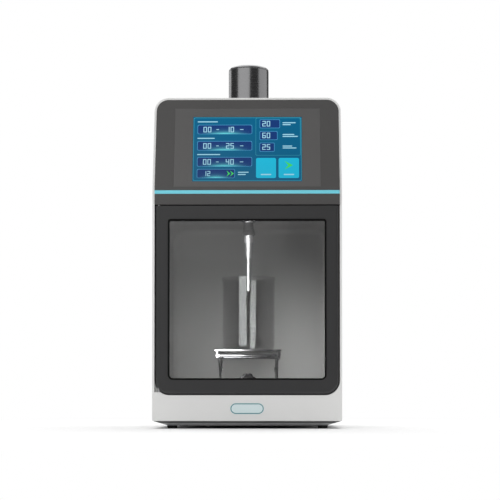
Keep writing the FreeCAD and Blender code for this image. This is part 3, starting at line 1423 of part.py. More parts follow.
def inlet_and_switch():
    """Mains inlet with a fuse drawer below it, and a rocker switch beside it."""
    flange_y = REAR_PANEL_Y
    low = "(inlet_z - inlet_tall / 2)"
    edge = "3"
    flange = box("inlet_flange", f"inlet_x - inlet_width / 2 - 11", flange_y,
                 f"{low} - drawer_tall - {edge}", "inlet_width + 22", "inlet_flange",
                 f"inlet_tall + drawer_tall + {edge} * 2")
    case = box("inlet_case", "inlet_x - inlet_width / 2 + 0.2", f"{flange_y} - inlet_depth",
               f"{low} - drawer_tall + 0.2", "inlet_width - 0.4", "inlet_depth",
               "inlet_tall + drawer_tall - 0.4")
    well = box("inlet_well", "inlet_x - inlet_width / 2 + 2.5",
               f"{flange_y} - inlet_depth + 3", f"{low} + 2.5", "inlet_width - 5",
               "inlet_depth + inlet_flange", "inlet_tall - 5")
    drawer_well = box("drawer_well", "inlet_x - inlet_width / 2 + 2.5",
                      f"{flange_y} - inlet_depth + 2", f"{low} - drawer_tall + 1.5",
                      "inlet_width - 5", "inlet_depth + inlet_flange", "drawer_tall - 1")
    shell = cut("inlet_shell", fused("inlet_form", [flange, case]), [well, drawer_well])
    pins = []
    for step, up in ((-7, "inlet_z - 2"), (0, "inlet_z + 2"), (7, "inlet_z - 2")):
        pins.append(box("inlet_pin", f"inlet_x + {step} - 1", f"{flange_y} - inlet_depth + 2",
                        f"{up} - 2", "2", "inlet_depth - 5", "4"))
    label(fused("inlet", [shell] + pins), "power_inlet")

    play = "drawer_play"
    drawer = box("drawer", f"inlet_x - inlet_width / 2 + 2.5 + {play}",
                 f"{flange_y} - inlet_depth + 2.5", f"{low} - drawer_tall + 1.5 + {play}",
                 f"inlet_width - 5 - {play} * 2", "inlet_depth + inlet_flange - 1",
                 f"drawer_tall - 1 - {play} * 2")
    hollow = box("drawer_hollow", "inlet_x - inlet_width / 2 + 5", f"{flange_y} - inlet_depth + 4",
                 f"{low} - drawer_tall + 3.2", "inlet_width - 10", "inlet_depth - 6", "drawer_tall")
    label(cut("fuse_tray", drawer, [hollow]), "fuse_drawer")

    half_x = "switch_width / 2"
    half_z = "switch_tall / 2"
    rim = "switch_rim"
    bezel = box("switch_bezel", f"switch_x - {half_x} - {rim}", flange_y, f"inlet_z - {half_z} - {rim}",
                f"switch_width + {rim} * 2", rim, f"switch_tall + {rim} * 2")
    can = box("switch_can", f"switch_x - {half_x} + 0.2", f"{flange_y} - 18",
              f"inlet_z - {half_z} + 0.2", "switch_width - 0.4", "18", "switch_tall - 0.4")
    well = box("switch_well", f"switch_x - {half_x} + 2", f"{flange_y} - 9",
               f"inlet_z - {half_z} + 2", "switch_width - 4", f"9 + {rim}", "switch_tall - 4")
    label(cut("switch", fused("switch_form", [bezel, can]), [well]), "switch_body")

    body = new_body("switch_rocker")
    long_half = "(switch_tall / 2 - 2 - rocker_play)"
    paddle = [
        ("-5", f"-{long_half} + 1.2"),
        ("-1", f"-{long_half} + 0.4"),
        ("1.2", f"-{long_half} + 0.5"),
        ("-0.4", "0", "30"),
        ("1.2", f"{long_half} - 0.5"),
        ("-1", f"{long_half} - 0.4"),
        ("-5", f"{long_half} - 1.2"),
        ("-6.5", "0", "4"),
    ]
    pad(body, "YZ_Plane", [paddle], f"switch_width - 4 - rocker_play * 2", both=True)
    turn(body, X_AXIS, "rocker_tilt")
    label(body, "switch_rocker", "switch_x", f"{flange_y} + 1", "inlet_z")


def electronics():
    """Power generator board with its heat sink and transformer, and the supply below."""
    board_y = f"({LINER_REAR_Y} + generator_off)"
    board = box("generator", "-generator_width / 2", board_y, "generator_low",
                "generator_width", "board_thick", "generator_tall")
    label_placed(board, "generator_board")

    face_y = f"({board_y} + board_thick)"
    body = new_body("heat_sink")
    pitch = "((sink_width - 2) / (fin_count - 1))"
    comb = [("-sink_width / 2", "0"), ("-sink_width / 2", "sink_fin + 4")]
    count = int(SIZES["fin_count"])
    for index in range(count - 1):
        left = f"(-sink_width / 2 + 2 + {index} * {pitch})"
        right = f"(-sink_width / 2 + {index + 1} * {pitch})"
        comb += [(left, "sink_fin + 4"), (left, "4"), (right, "4"), (right, "sink_fin + 4")]
    comb += [("sink_width / 2", "sink_fin + 4"), ("sink_width / 2", "0")]
    pad(body, "XY_Plane", [comb], "sink_tall")
    label(body, "heat_sink", "-25", face_y, "generator_low + generator_tall - sink_tall - 14")

    core_z = "(generator_low + core_rise)"
    window_wide = "((core_width - core_leg) / 2 - core_band)"
    core = [
        box("core", "core_x", face_y, core_z, "core_width", "core_deep", "core_tall"),
        box("core_window_a", "core_x + core_band", face_y, f"{core_z} + core_band",
            window_wide, "core_deep", "core_tall - 2 * core_band"),
        box("core_window_b", f"core_x + core_width - core_band - {window_wide}", face_y,
            f"{core_z} + core_band", window_wide, "core_deep", "core_tall - 2 * core_band"),
    ]
    transformer = [cut("transformer_core", core[0], core[1:])]
    coil_x = "(core_x + core_band + coil_play)"
    coil_y = f"({face_y} + coil_play)"
    coil_z = f"({core_z} + core_band + coil_play / 2)"
    coil_deep = "core_deep - 2 * coil_play"
    coil_tall = "core_tall - 2 * core_band - coil_play"
    coil_outer = box("coil", coil_x, coil_y, coil_z, "core_width - 2 * (core_band + coil_play)",
                     coil_deep, coil_tall)
    coil_inner = box("coil_inner", "core_x + (core_width - core_leg) / 2", coil_y, coil_z,
                     "core_leg", coil_deep, coil_tall)
    transformer.append(cut("transformer_coil", coil_outer, [coil_inner]))
    label(group("transformer_set", transformer), "output_transformer")

    supply = box("supply", "-supply_length / 2", "probe_y - supply_width / 2", FLOOR_TOP,
                 "supply_length", "supply_width", "supply_tall")
    label_placed(supply, "power_supply")


case_shell()
base_pan()
feet()
door()
pivots()
control_head()
badge()
chamber()
transducer()
jack()
beaker()
rear_panel()
fan()
inlet_and_switch()
electronics()
document.recompute()

for item in document.Objects:
    if "Invalid" in item.State or "Error" in item.State:
        raise RuntimeError(f"{item.Name} failed: {item.State}")
os.makedirs("parts", exist_ok=True)
for item in finished:
    if item.Shape.isNull() or not item.Shape.isValid():
        raise RuntimeError(f"{item.Label} has no valid shape")
    item.Shape.exportStep(f"parts/{item.Label}.step")
print(len(finished), "sub-parts")
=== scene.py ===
# %% [markdown]
# # An ultrasonic homogenizer, dressed in Blender
# The solids of the machine come ready made from a CAD model, each riding on the body that it
# moves with. This lesson gives them their finish. It adds softened edges, turned and moulded
# pieces worked out as surfaces with numpy, a lit screen, and a material for every piece.
# Everything is in metres. The machine stands on z = 0 and its door faces -Y.

# %% Load the frame
import math

import bmesh
import bpy
import numpy as np
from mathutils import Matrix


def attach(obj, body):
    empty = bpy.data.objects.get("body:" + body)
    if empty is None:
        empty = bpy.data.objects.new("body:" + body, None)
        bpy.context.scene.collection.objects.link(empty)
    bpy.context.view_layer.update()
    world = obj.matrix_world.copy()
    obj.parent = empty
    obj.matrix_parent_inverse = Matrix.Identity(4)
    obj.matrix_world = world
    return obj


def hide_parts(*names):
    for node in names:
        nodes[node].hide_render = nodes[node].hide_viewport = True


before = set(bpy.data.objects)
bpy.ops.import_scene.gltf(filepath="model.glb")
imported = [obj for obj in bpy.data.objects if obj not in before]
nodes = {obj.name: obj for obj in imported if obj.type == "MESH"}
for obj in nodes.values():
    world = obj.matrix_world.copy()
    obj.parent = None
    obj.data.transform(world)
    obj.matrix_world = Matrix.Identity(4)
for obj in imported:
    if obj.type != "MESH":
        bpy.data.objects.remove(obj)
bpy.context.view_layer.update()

MM = 0.001

# %% [markdown]
# ## The camera
# The photograph is taken from just above the bench, with the horizon far below the middle of
# the picture. A camera could be tilted up to get there, but then upright lines lean together.
# In the photograph they hardly do, so most of the work is left to a shift, as with the sliding
# back of a view camera, and only one degree is tilt.

# %% Camera
camera_data = bpy.data.cameras.new("camera")
camera_data.sensor_width = 36.0
camera_data.lens = 95.79
camera_data.shift_x = -0.0215
camera_data.shift_y = 0.2613
camera = bpy.data.objects.new("camera", camera_data)
bpy.context.scene.collection.objects.link(camera)
camera.location = (0.0351, -1.9954, 0.0345)
camera.rotation_euler = (math.radians(91.0), 0.0, math.radians(0.5))
bpy.context.scene.camera = camera
bpy.context.scene.view_settings.view_transform = "Standard"

# %% [markdown]
# ## Surfaces from numpy
# A turned piece, a pressed plate and a moulded strip have one thing in common: each is a grid
# of points, worked out from two parameters. So the tools below build grids. A grid becomes
# quads by index arithmetic alone, and points that fall together, as at a pole, are merged.

# %% Grid to mesh
def grid_faces(rows, columns, wrap_rows=False, wrap_columns=False):
    """Quads of a grid: face (i, j) joins points (i, j), (i + 1, j), (i + 1, j + 1), (i, j + 1)."""
    index = np.arange(rows * columns).reshape(rows, columns)
    if wrap_rows:
        index = np.vstack([index, index[:1]])
    if wrap_columns:
        index = np.hstack([index, index[:, :1]])
    corners = [index[:-1, :-1], index[1:, :-1], index[1:, 1:], index[:-1, 1:]]
    return np.stack(corners, axis=-1).reshape(-1, 4)


def several(grids):
    """Points and faces of many alike grids, stacked: grid k's face numbers start at k * size."""
    points = np.concatenate([np.reshape(grid, (-1, 3)) for grid, faces in grids])
    starts = np.cumsum([0] + [grid.size // 3 for grid, faces in grids[:-1]])
    return points, np.concatenate([faces + start for start, (grid, faces) in zip(starts, grids)])


def new_piece(name, points, faces, body, slot, stands_for=(), crease=35.0):
    """Mesh from points in millimetres and faces, merged and closed, riding on a body."""
    mesh = bpy.data.meshes.new(name)
    places = np.reshape(points, (-1, 3)) * MM
    mesh.from_pydata(places.tolist(), [], np.asarray(faces).tolist())
    shell = bmesh.new()
    shell.from_mesh(mesh)
    bmesh.ops.remove_doubles(shell, verts=shell.verts, dist=1e-6)
    bmesh.ops.recalc_face_normals(shell, faces=shell.faces)
    shell.to_mesh(mesh)
    shell.free()
    mesh.shade_smooth()
    mesh.set_sharp_from_angle(angle=math.radians(crease))
    piece = bpy.data.objects.new(name, mesh)
    bpy.context.scene.collection.objects.link(piece)
    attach(piece, body)
    if stands_for:
        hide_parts(*stands_for)
    print(name, len(mesh.polygons), "faces")
    return piece


# %% [markdown]
# ## Rounded corners
# No real edge is sharp. A profile is given by its corners, each with a radius, and every corner
# is swapped for an arc. The arc starts radius / tan(half the corner's angle) away from it.

# %% Profiles with arcs
def rounded_path(corners, closed=False, steps=6):
    """Corners (a, b, radius), each swapped for an arc that touches both its runs."""
    path = []
    count = len(corners)
    for index, corner in enumerate(corners):
        here = np.array(corner[:2], float)
        radius = corner[2] if len(corner) > 2 else 0
        if radius <= 0 or (not closed and index in (0, count - 1)):
            path.append(here[None])
            continue
        back = np.array(corners[index - 1][:2]) - here
        ahead = np.array(corners[(index + 1) % count][:2]) - here
        back = back / np.linalg.norm(back)
        ahead = ahead / np.linalg.norm(ahead)
        half = math.acos(float(np.clip(back @ ahead, -1, 1))) / 2
        centre = here + (back + ahead) / np.linalg.norm(back + ahead) * radius / math.sin(half)
        first = here + back * radius / math.tan(half) - centre
        last = here + ahead * radius / math.tan(half) - centre
        share = np.linspace(0, 1, steps + 1)[:, None]
        sweep = math.pi - 2 * half
        arc = np.sin((1 - share) * sweep) * first + np.sin(share * sweep) * last
        path.append(centre + arc / math.sin(sweep))
    return np.vstack(path)


def lathe(corners, centre, turns=96, steps=6):
    """Solid of revolution about Z: profile point (r, z) goes to (r cos t, r sin t, z)."""
    closed = min(corner[0] for corner in corners) > 0
    path = rounded_path(corners, closed=closed, steps=steps)
    angle = np.arange(turns) * (2 * math.pi / turns)
    points = np.stack([
        path[:, :1] * np.cos(angle) + centre[0],
        path[:, :1] * np.sin(angle) + centre[1],
        path[:, 1:] + 0 * angle + centre[2]], axis=-1)
    return points, grid_faces(len(path), turns, wrap_rows=closed, wrap_columns=True)


# %% [markdown]
# ## The CAD edges
# The sheet metal and the mouldings keep their CAD shape, which is right, but their edges are
# knife sharp. A Weld modifier joins the loose triangles and a Bevel modifier rounds what is
# left above an angle, so each edge catches a line of light as it does on the real machine. A
# Weighted Normal modifier then lets the large flat faces win, so that they stay flat.

# %% Softened solids
BEVEL_ANGLE = math.radians(40.0)


def soften(name, width):
    """Round a solid's sharp edges by a width in millimetres, without changing its mesh."""
    piece = nodes[name]
    weld = piece.modifiers.new("weld", "WELD")
    weld.merge_threshold = 2e-6
    bevel = piece.modifiers.new("bevel", "BEVEL")
    bevel.width = width * MM
    bevel.segments = 2
    bevel.limit_method = "ANGLE"
    bevel.angle_limit = BEVEL_ANGLE
    flat = piece.modifiers.new("flat", "WEIGHTED_NORMAL")
    flat.weight = 100
    flat.thresh = 0.01
    piece.data.shade_smooth()


SOFT_EDGES = {
    "case_shell": 0.9, "base_pan": 0.6, "head_fascia": 0.8, "front_overlay": 0.2,
    "door_frame": 0.5, "window_bead": 0.3, "chamber_frame": 0.5, "chamber_liner": 0.3,
    "rear_panel": 0.25, "power_inlet": 0.5, "switch_body": 0.5, "switch_rocker": 0.4,
    "fuse_drawer": 0.3, "jack_base": 0.3, "jack_top_plate": 0.3, "jack_outer_arms": 0.25,
    "jack_inner_arms": 0.25, "hinge_bracket": 0.4, "heat_sink": 0.25, "fan_frame": 0.5,
    "accent_strip": 0.2, "power_supply": 0.8, "badge_plate": 0.2, "pane_retainer": 0.4,
}
for name, width in SOFT_EDGES.items():
    soften(name, width)
print(len(SOFT_EDGES), "solids softened")

# %% [markdown]
# ## The transducer's cap
# The cap is an aluminium can, turned on a lathe, with a lid pressed into it. A thin groove
# shows where the two meet. Both are solids of revolution, so a profile of radius and height
# is all that they need. The centre line of the probe stands 25 mm in front of the middle.

# %% Cap
PROBE = (0.0, -25.0, 0.0)
can = [(26.9, 319.0, 0.5), (16.2, 319.0), (16.2, 316.0), (29.5, 316.0, 1.0),
       (29.5, 527.6, 0.35), (26.9, 527.6, 0.3)]
new_piece("cap_can", *lathe(can, PROBE, turns=128), "transducer", "housing_metal",
          ["transducer_housing"])
lid = [(0, 519.9), (26.7, 519.9), (26.7, 528.1), (29.3, 528.1, 0.3), (29.5, 529.6, 1.2),
       (27.4, 531.8, 1.4), (0, 531.8)]
new_piece("cap_lid", *lathe(lid, PROBE, turns=128), "transducer", "housing_metal",
          ["housing_lid"])

# %% [markdown]
# ## The horn
# The horn steps the vibration up from the stack to the tip. It is turned from one bar of
# titanium: a wide shoulder, a long cone, a slim neck, then a round flange and a stem.
# The tip screws into its end. A dark boot on the neck keeps spray out of the collar.

# %% Horn, boot and tip
horn = [(0, 252.0), (4.0, 252.0), (4.45, 252.5, 0.3), (4.75, 274.2, 0.5), (6.7, 274.2, 0.45),
        (6.7, 278.7, 0.45), (5.0, 278.7, 0.3), (5.0, 280.0, 0.2), (6.5, 280.0, 0.4),
        (6.5, 282.2, 0.4), (6.0, 282.2, 0.2), (6.0, 307.0, 8.0), (9.5, 330.0, 14.0),
        (18.0, 350.0, 9.0), (18.0, 372.0, 0.6), (0, 372.0)]
new_piece("turned_horn", *lathe(horn, PROBE, steps=8), "transducer", "horn_metal", ["horn"])
tip = [(0, 201.8), (3.0, 201.8, 0.4), (3.0, 208.2, 0.1), (2.65, 208.5, 0.1), (3.0, 208.8, 0.1),
       (3.0, 246.5, 0.3), (2.6, 246.5), (2.6, 250.0), (3.6, 250.0, 0.25), (3.6, 252.0), (0, 252.0)]
new_piece("screwed_tip", *lathe(tip, PROBE, turns=64), "transducer", "tip_metal", ["horn_tip"])
boot = [(6.0, 284.0), (9.5, 284.0, 0.6), (9.5, 288.0, 3.0), (7.4, 292.0, 1.5), (7.9, 293.5, 0.8),
        (7.1, 295.5, 0.8), (7.6, 297.0, 0.8), (7.0, 299.0, 0.8), (7.0, 303.0, 0.6), (6.0, 303.0)]
new_piece("neck_boot", *lathe(boot, PROBE, turns=64), "transducer", "rubber_dark", ["horn_boot"])

# %% [markdown]
# ## The beaker
# A low-form beaker is blown into a mould: a thick floor, a wall of even thickness and a rolled
# rim, pulled out on one side into a lip for pouring. The lip is a bump in the radius, so
# r(t, s) = profile(s) + 3.2 exp(-(t / 0.22)^2) rise(s), and the rim dips by a little there.

# %% Beaker
outside = [(0, 0.9), (30.0, 0.9, 3.0), (32.0, 0.0, 1.0), (38.5, 0.0, 7.0), (38.5, 100.0, 8.0),
           (39.8, 107.4, 0.9), (38.6, 108.4, 0.6)]
inside = [(36.9, 107.2, 0.8), (36.6, 100.0, 8.0), (36.6, 3.0, 6.0), (0, 3.0)]
wall = rounded_path(outside + inside, steps=8)
around = np.arange(144) * (2 * math.pi / 144)
rise = np.clip((wall[:, 1:] - 88.0) / 20.4, 0, 1) ** 2 * (wall[:, :1] > 30)
pull = np.exp(-(np.angle(np.exp(1j * (around - math.radians(160)))) / 0.22) ** 2)
radius = wall[:, :1] + 3.2 * pull * rise
glass = np.stack([
    radius * np.cos(around), radius * np.sin(around) - 25.0,
    wall[:, 1:] + 113.0 - 1.0 * pull * rise], axis=-1)
new_piece("blown_beaker", glass, grid_faces(len(wall), 144, wrap_columns=True), "beaker",
          "beaker_glass", ["beaker"])

# %% [markdown]
# ## The jack's knob and screw
# The knob is moulded with eight shallow flutes for the fingers. Its radius is a profile along
# the axis, less a cosine round the axis. The screw is cut with a two-start thread of 4 mm lead.
# A thread is a ripple of the radius that climbs as it turns: phase = (y + lead * t / 2 pi) / 2.

# %% Knob and screw
def turned_about_y(path, radius, axis_z):
    """Surface about a Y axis: point (i, j) = (r_ij sin t, y_i, axis_z + r_ij cos t)."""
    angle = np.arange(radius.shape[1]) * (2 * math.pi / radius.shape[1])
    points = np.stack([
        radius * np.sin(angle), path[:, 1:] + 0 * angle, axis_z + radius * np.cos(angle)], axis=-1)
    return points, grid_faces(*radius.shape, wrap_columns=True)


SCREW_AXIS = 66.5
knob_path = rounded_path([
    (0, -95.6), (7.6, -95.6, 0.8), (8.2, -96.0, 0.8), (12.3, -96.0, 2.0), (12.3, -84.2, 1.4),
    (7.0, -82.9, 0.9), (6.6, -82.0, 0.4), (0, -82.0)], steps=7)
flute = 0.5 + 0.5 * np.cos(8 * np.arange(144) * (2 * math.pi / 144))
depth = np.clip((knob_path[:, :1] - 8.0) / 4.0, 0, 1)
knob_radius = knob_path[:, :1] - 1.7 * depth * flute ** 2
new_piece("fluted_knob", *turned_about_y(knob_path, knob_radius, SCREW_AXIS), "screw", "knob_black",
          ["jack_knob"], crease=50)

length = np.linspace(-80.0, 16.0, 481)
screw_path = np.stack([np.full(481, 3.0), length], axis=-1)
phase = (length[:, None] + 4.0 * np.arange(32) / 32) / 2.0
tooth = np.clip(np.abs((phase % 1.0) * 2 - 1) * 1.9 - 0.35, 0, 1)
thread = 2.35 + 0.65 * tooth
thread[:8] = np.minimum(thread[:8], 2.0 + np.linspace(0, 1, 8)[:, None])
thread[-8:] = np.minimum(thread[-8:], 3.0 - np.linspace(0, 1, 8)[:, None])
ends = np.array([[0, -90.4], [1.8, -90.4], [2.0, -90.2], [2.0, -80.1]])
tail = np.array([[2.0, 16.1], [2.0, 21.8], [1.8, 22.0], [0, 22.0]])
screw_path = np.vstack([ends, screw_path, tail])
screw_radius = np.vstack([ends[:, :1] + np.zeros(32), thread, tail[:, :1] + np.zeros(32)])
new_piece("cut_screw", *turned_about_y(screw_path, screw_radius, SCREW_AXIS), "screw", "jack_steel",
          ["jack_screw"], crease=50)

# %% [markdown]
# ## The fan
# A fan blade is steeper near the hub than at its end, because the hub end moves slower through
# the air. Each blade is a thin lens carried outwards: at the share s of its length the lens is
# turned by 48 - 16 s degrees, and it swells to 1.2 mm at mid chord. The hub is a turned cup.

# %% Fan rotor
FAN = np.array([62.0, 126.0, 385.0])


def fan_blade(turn):
    """Lens profile (c, h) turned by its pitch, then swung round the hub by the blade's angle."""
    share = np.linspace(0, 1, 13)[:, None]
    loop = np.arange(20) * (2 * math.pi / 20)
    chord = (7.6 + 1.6 * share) * np.cos(loop)
    lift = 0.6 * np.sin(loop) + 1.5 * (1 - np.cos(loop) ** 2) * share
    pitch = np.radians(48 - 16 * share)
    along = chord * np.sin(pitch) + lift * np.cos(pitch)
    axial = chord * np.cos(pitch) - lift * np.sin(pitch)
    reach = 15.0 + 20.6 * share + 0 * loop
    reach = reach * np.where(share >= 1, 0.999, 1)
    x = reach * math.cos(turn) - along * math.sin(turn)
    z = reach * math.sin(turn) + along * math.cos(turn)
    grid = np.stack([x + FAN[0], axial + FAN[1], z + FAN[2]], axis=-1)
    caps = np.repeat(grid[[0, -1]].mean(axis=1, keepdims=True), 20, axis=1)
    return np.concatenate([caps[:1], grid, caps[1:]]), grid_faces(15, 20, wrap_columns=True)


hub_path = rounded_path([(0, 117.0), (15.0, 117.0, 1.0), (16.0, 134.0, 1.8), (0, 134.0)])
hub_ring = hub_path[:, :1] + np.zeros(64)
hub = turned_about_y(hub_path, hub_ring, FAN[2])
hub[0][..., 0] += FAN[0]
axle_path = np.array([[0, 114.0], [2.0, 114.0], [2.0, 118.0], [0, 118.0]])
axle = turned_about_y(axle_path, axle_path[:, :1] + np.zeros(24), FAN[2])
axle[0][..., 0] += FAN[0]
blades = [fan_blade((index + 0.5) * 2 * math.pi / 7) for index in range(7)]
new_piece("moulded_rotor", *several(blades + [hub, axle]), "fan", "fan_black", ["fan_rotor"])

# %% [markdown]
# ## Wire guard and screws
# The finger guard is bent from round wire and spot welded, so its rings are tori. A torus is a
# small circle carried round a large one: (R + r cos a) in the plane, r sin a out of it. The
# screw heads are shallow domes, pressed with a cross: depth falls off along two grooves.

# %% Guard rings and screw heads
def wire_ring(radius, wire, centre):
    """Torus in the XZ plane, as round wire bent to a circle."""
    large = np.arange(96)[:, None] * (2 * math.pi / 96)
    small = np.arange(10) * (2 * math.pi / 10)
    points = np.stack([
        centre[0] + (radius + wire * np.cos(small)) * np.cos(large),
        centre[1] + wire * np.sin(small) + 0 * large,
        centre[2] + (radius + wire * np.cos(small)) * np.sin(large)], axis=-1)
    return points, grid_faces(96, 10, wrap_rows=True, wrap_columns=True)


def wire_bar(start, end, wire):
    """Straight round wire between two points, with closed ends."""
    start, end = np.array(start, float), np.array(end, float)
    line = (end - start) / np.linalg.norm(end - start)
    side = np.cross(line, [0.0, 1.0, 0.0])
    loop = np.arange(10)[:, None] * (2 * math.pi / 10)
    ring = wire * (np.cos(loop) * side + np.sin(loop) * np.array([0.0, 1.0, 0.0]))
    rows = [np.repeat(start[None], 10, axis=0), start + ring, end + ring,
            np.repeat(end[None], 10, axis=0)]
    return np.stack(rows), grid_faces(4, 10, wrap_columns=True)


GUARD = (62.0, 141.75, 385.0)
guard = [wire_ring(radius, 0.75, GUARD) for radius in (13.0, 21.0, 29.0)]
guard.append(wire_bar((24.0, 141.75, 385.0), (100.0, 141.75, 385.0), 0.75))
guard.append(wire_bar((62.0, 141.75, 347.0), (62.0, 141.75, 423.0), 0.75))
new_piece("wire_guard", *several(guard), "cabinet", "guard_steel", ["fan_guard"])


def screw_head(centre, radius, thick, out):
    """Dome with a pressed cross: height = thick (1 - 0.35 s^2) less a groove along each arm."""
    share = np.linspace(0, 1, 12)[:, None]
    turn = np.arange(32) * (2 * math.pi / 32)
    a, b = share * np.cos(turn), share * np.sin(turn)
    groove = np.exp(-(np.minimum(np.abs(a), np.abs(b)) / 0.13) ** 4) * (share < 0.62)
    height = thick * (1 - 0.35 * share ** 2) - 0.55 * thick * groove * (1 - share)
    flat = np.stack([radius * a, radius * b, height], axis=-1)
    foot = np.stack([radius * a[-1:], radius * b[-1:], 0 * a[-1:]], axis=-1)
    grid = np.concatenate([flat, foot, 0 * foot])
    if out == "rear":
        grid = np.stack([-grid[..., 0], grid[..., 2], grid[..., 1]], axis=-1)
    else:
        grid = grid * np.array([1.0, -1.0, -1.0])
    return grid + np.array(centre), grid_faces(14, 32, wrap_columns=True)


FEET = [(x, y) for x in (-106, 106) for y in (-120, 120)]
REAR_SCREWS = [(x, z) for x in (-122.0, 122.0) for z in (38.5, 235.0, 442.0)]
heads = [screw_head((x, 141.0, z), 3.8, 1.8, "rear") for x, z in REAR_SCREWS]
heads += [screw_head((x, y, 2.15), 3.8, 1.7, "below") for x, y in FEET]
shanks = [lathe([(0, 2.15), (2.0, 2.15), (2.0, 16.5), (0, 16.5)], (x, y, 0), turns=24)
          for x, y in FEET]
shank_path = np.array([[0, 133.0], [2.0, 133.0], [2.0, 141.2], [0, 141.2]])
for x, z in REAR_SCREWS:
    shank = turned_about_y(shank_path, shank_path[:, :1] + np.zeros(24), z)
    shank[0][..., 0] += x
    shanks.append(shank)
new_piece("cross_screws", *several(heads + shanks), "cabinet", "screw_steel", ["case_screws"])

# %% [markdown]
# ## The door's seal
# The seal is an extruded strip: a flat foot with a soft bulb, joined into a frame. Its profile
# (d, h) is carried along a rounded rectangle. At each point of the path the profile is laid
# out along the outward normal there, so the strip keeps its section all the way round.

# %% Seal
def carried(path, profile, level):
    """Profile (d, h) carried round a closed path in the XZ plane, d outwards, h towards -Y."""
    ahead = np.roll(path, -1, axis=0) - np.roll(path, 1, axis=0)
    outward = np.stack([ahead[:, 1], -ahead[:, 0]], axis=-1)
    outward = outward / np.linalg.norm(outward, axis=1, keepdims=True)
    flat = path[:, None] + outward[:, None] * profile[None, :, :1]
    depth = level - profile[None, :, 1] + 0 * flat[..., 0]
    points = np.stack([flat[..., 0], depth, flat[..., 1]], axis=-1)
    return points, grid_faces(len(path), len(profile), wrap_rows=True, wrap_columns=True)


track = rounded_path([(-116.0, 57.0, 6.5), (116.0, 57.0, 6.5), (116.0, 302.0, 6.5),
                      (-116.0, 302.0, 6.5)], closed=True, steps=10)
strip = rounded_path([(-3.5, 2.7, 0.3), (-3.5, 1.9, 0.3), (-1.9, 1.7, 0.5), (-1.6, 0.0, 1.2),
                      (1.6, 0.0, 1.2), (1.9, 1.7, 0.5), (3.5, 1.9, 0.3), (3.5, 2.7, 0.3)],
                     closed=True, steps=5)
new_piece("bulb_seal", *carried(track, strip, -131.3), "door", "rubber_dark", ["door_gasket"])

# %% [markdown]
# ## The feet
# The feet are moulded rubber buttons. They taper a little so that they leave the mould, have a
# round lower edge, and a counterbore that hides the screw.

# %% Feet
button = [(2.0, 4.3), (2.0, 2.15), (4.0, 2.15), (4.0, 0.0, 0.5), (6.7, 0.0, 0.9), (7.3, 4.3, 0.4)]
buttons = [lathe(button, (x, y, 0), turns=48) for x, y in FEET]
new_piece("rubber_buttons", *several(buttons), "cabinet", "rubber_dark", ["rubber_feet"])

# %% [markdown]
# ## The lit screen
# Text on the real screen is not copied. In its place are plain bars, plain figures and arrows.
# Everything is drawn in millimetres on the leaning glass: u to the right and v up the slope,
# then laid in place by turning the plane back by 16 degrees. Layers lie 0.03 mm apart.

# %% Drawing on the leaning glass
LEAN = math.radians(16.0)


def on_glass(flat, layer):
    """Points (u, v) on the glass: y = -150 + v sin L + b cos L, z = 334 + v cos L - b sin L."""
    u, v = flat[:, 0], flat[:, 1]
    back = 0.37 - 0.03 * layer
    return np.stack([u, -150 + v * math.sin(LEAN) + back * math.cos(LEAN),
                     334 + v * math.cos(LEAN) - back * math.sin(LEAN)], axis=-1)


def plate(left, low, right, high, radius, layer):
    """Filled rounded rectangle: its outline, drawn in to the middle, as a grid of two rows."""
    edge = rounded_path([(left, low, radius), (right, low, radius), (right, high, radius),
                         (left, high, radius)], closed=True, steps=4)
    middle = np.repeat(edge.mean(axis=0, keepdims=True), len(edge), axis=0)
    grid = np.stack([on_glass(middle, layer), on_glass(edge, layer)])
    return grid, grid_faces(2, len(edge), wrap_columns=True)


def outline(left, low, right, high, radius, line, layer):
    """Rounded rectangle drawn as a line: the same outline twice, one inside the other."""
    outer = rounded_path([(left, low, radius), (right, low, radius), (right, high, radius),
                          (left, high, radius)], closed=True, steps=4)
    middle = np.array([(left + right) / 2, (low + high) / 2])
    half = np.array([(right - left) / 2, (high - low) / 2])
    inner = middle + (outer - middle) * (half - line) / half
    grid = np.stack([on_glass(inner, layer), on_glass(outer, layer)])
    return grid, grid_faces(2, len(outer), wrap_columns=True)


def glow_patch(left, low, right, high, layer):
    """Grid with a glow at its foot: exp(-((s - 0.5) / 0.26)^2 - t / 0.2) over its sides s, t."""
    s = np.linspace(0, 1, 33)[:, None]
    t = np.linspace(0, 1, 13)
    flat = np.stack([left + (right - left) * s + 0 * t, low + (high - low) * t + 0 * s], axis=-1)
    glow = np.exp(-((s - 0.5) / 0.26) ** 2 - t / 0.2)
    return on_glass(flat.reshape(-1, 2), layer).reshape(33, 13, 3), grid_faces(33, 13), glow


def arrow(left, low, right, high, layer):
    """Arrow head that points to the right, as a triangle with its back edge notched."""
    shape = np.array([(left, low), (right, (low + high) / 2), (left, high),
                      (left + (right - left) * 0.45, (low + high) / 2)])
    return on_glass(shape, layer)[None], np.array([[0, 1, 2, 3]])


FIGURES = {"0": "abcdef", "1": "bc", "2": "abged", "4": "fgbc", "5": "afgcd", "6": "afgedc"}
STROKES = {"a": (0, 2, 1, 2), "b": (1, 1, 1, 2), "c": (1, 0, 1, 1), "d": (0, 0, 1, 0),
           "e": (0, 0, 0, 1), "f": (0, 1, 0, 2), "g": (0, 1, 1, 1)}


def figures(text, left, low, tall, layer):
    """Figures from seven strokes each, every stroke a small rounded plate."""
    drawn = []
    step = tall * 0.5
    weight = tall * 0.075
    for letter in text:
        for stroke in FIGURES[letter]:
            a, b, c, d = STROKES[stroke]
            drawn.append(plate(left + a * step - weight, low + b * step - weight,
                               left + c * step + weight, low + d * step + weight,
                               weight * 0.8, layer))
        left += tall * 0.85
    return drawn


# %% [markdown]
# The drawing is sorted by colour, because each colour is a lit layer of its own. On the left
# are three readings with bars over them and a rounded field with arrows. On the right are three
# small readings in a frame, and two buttons.

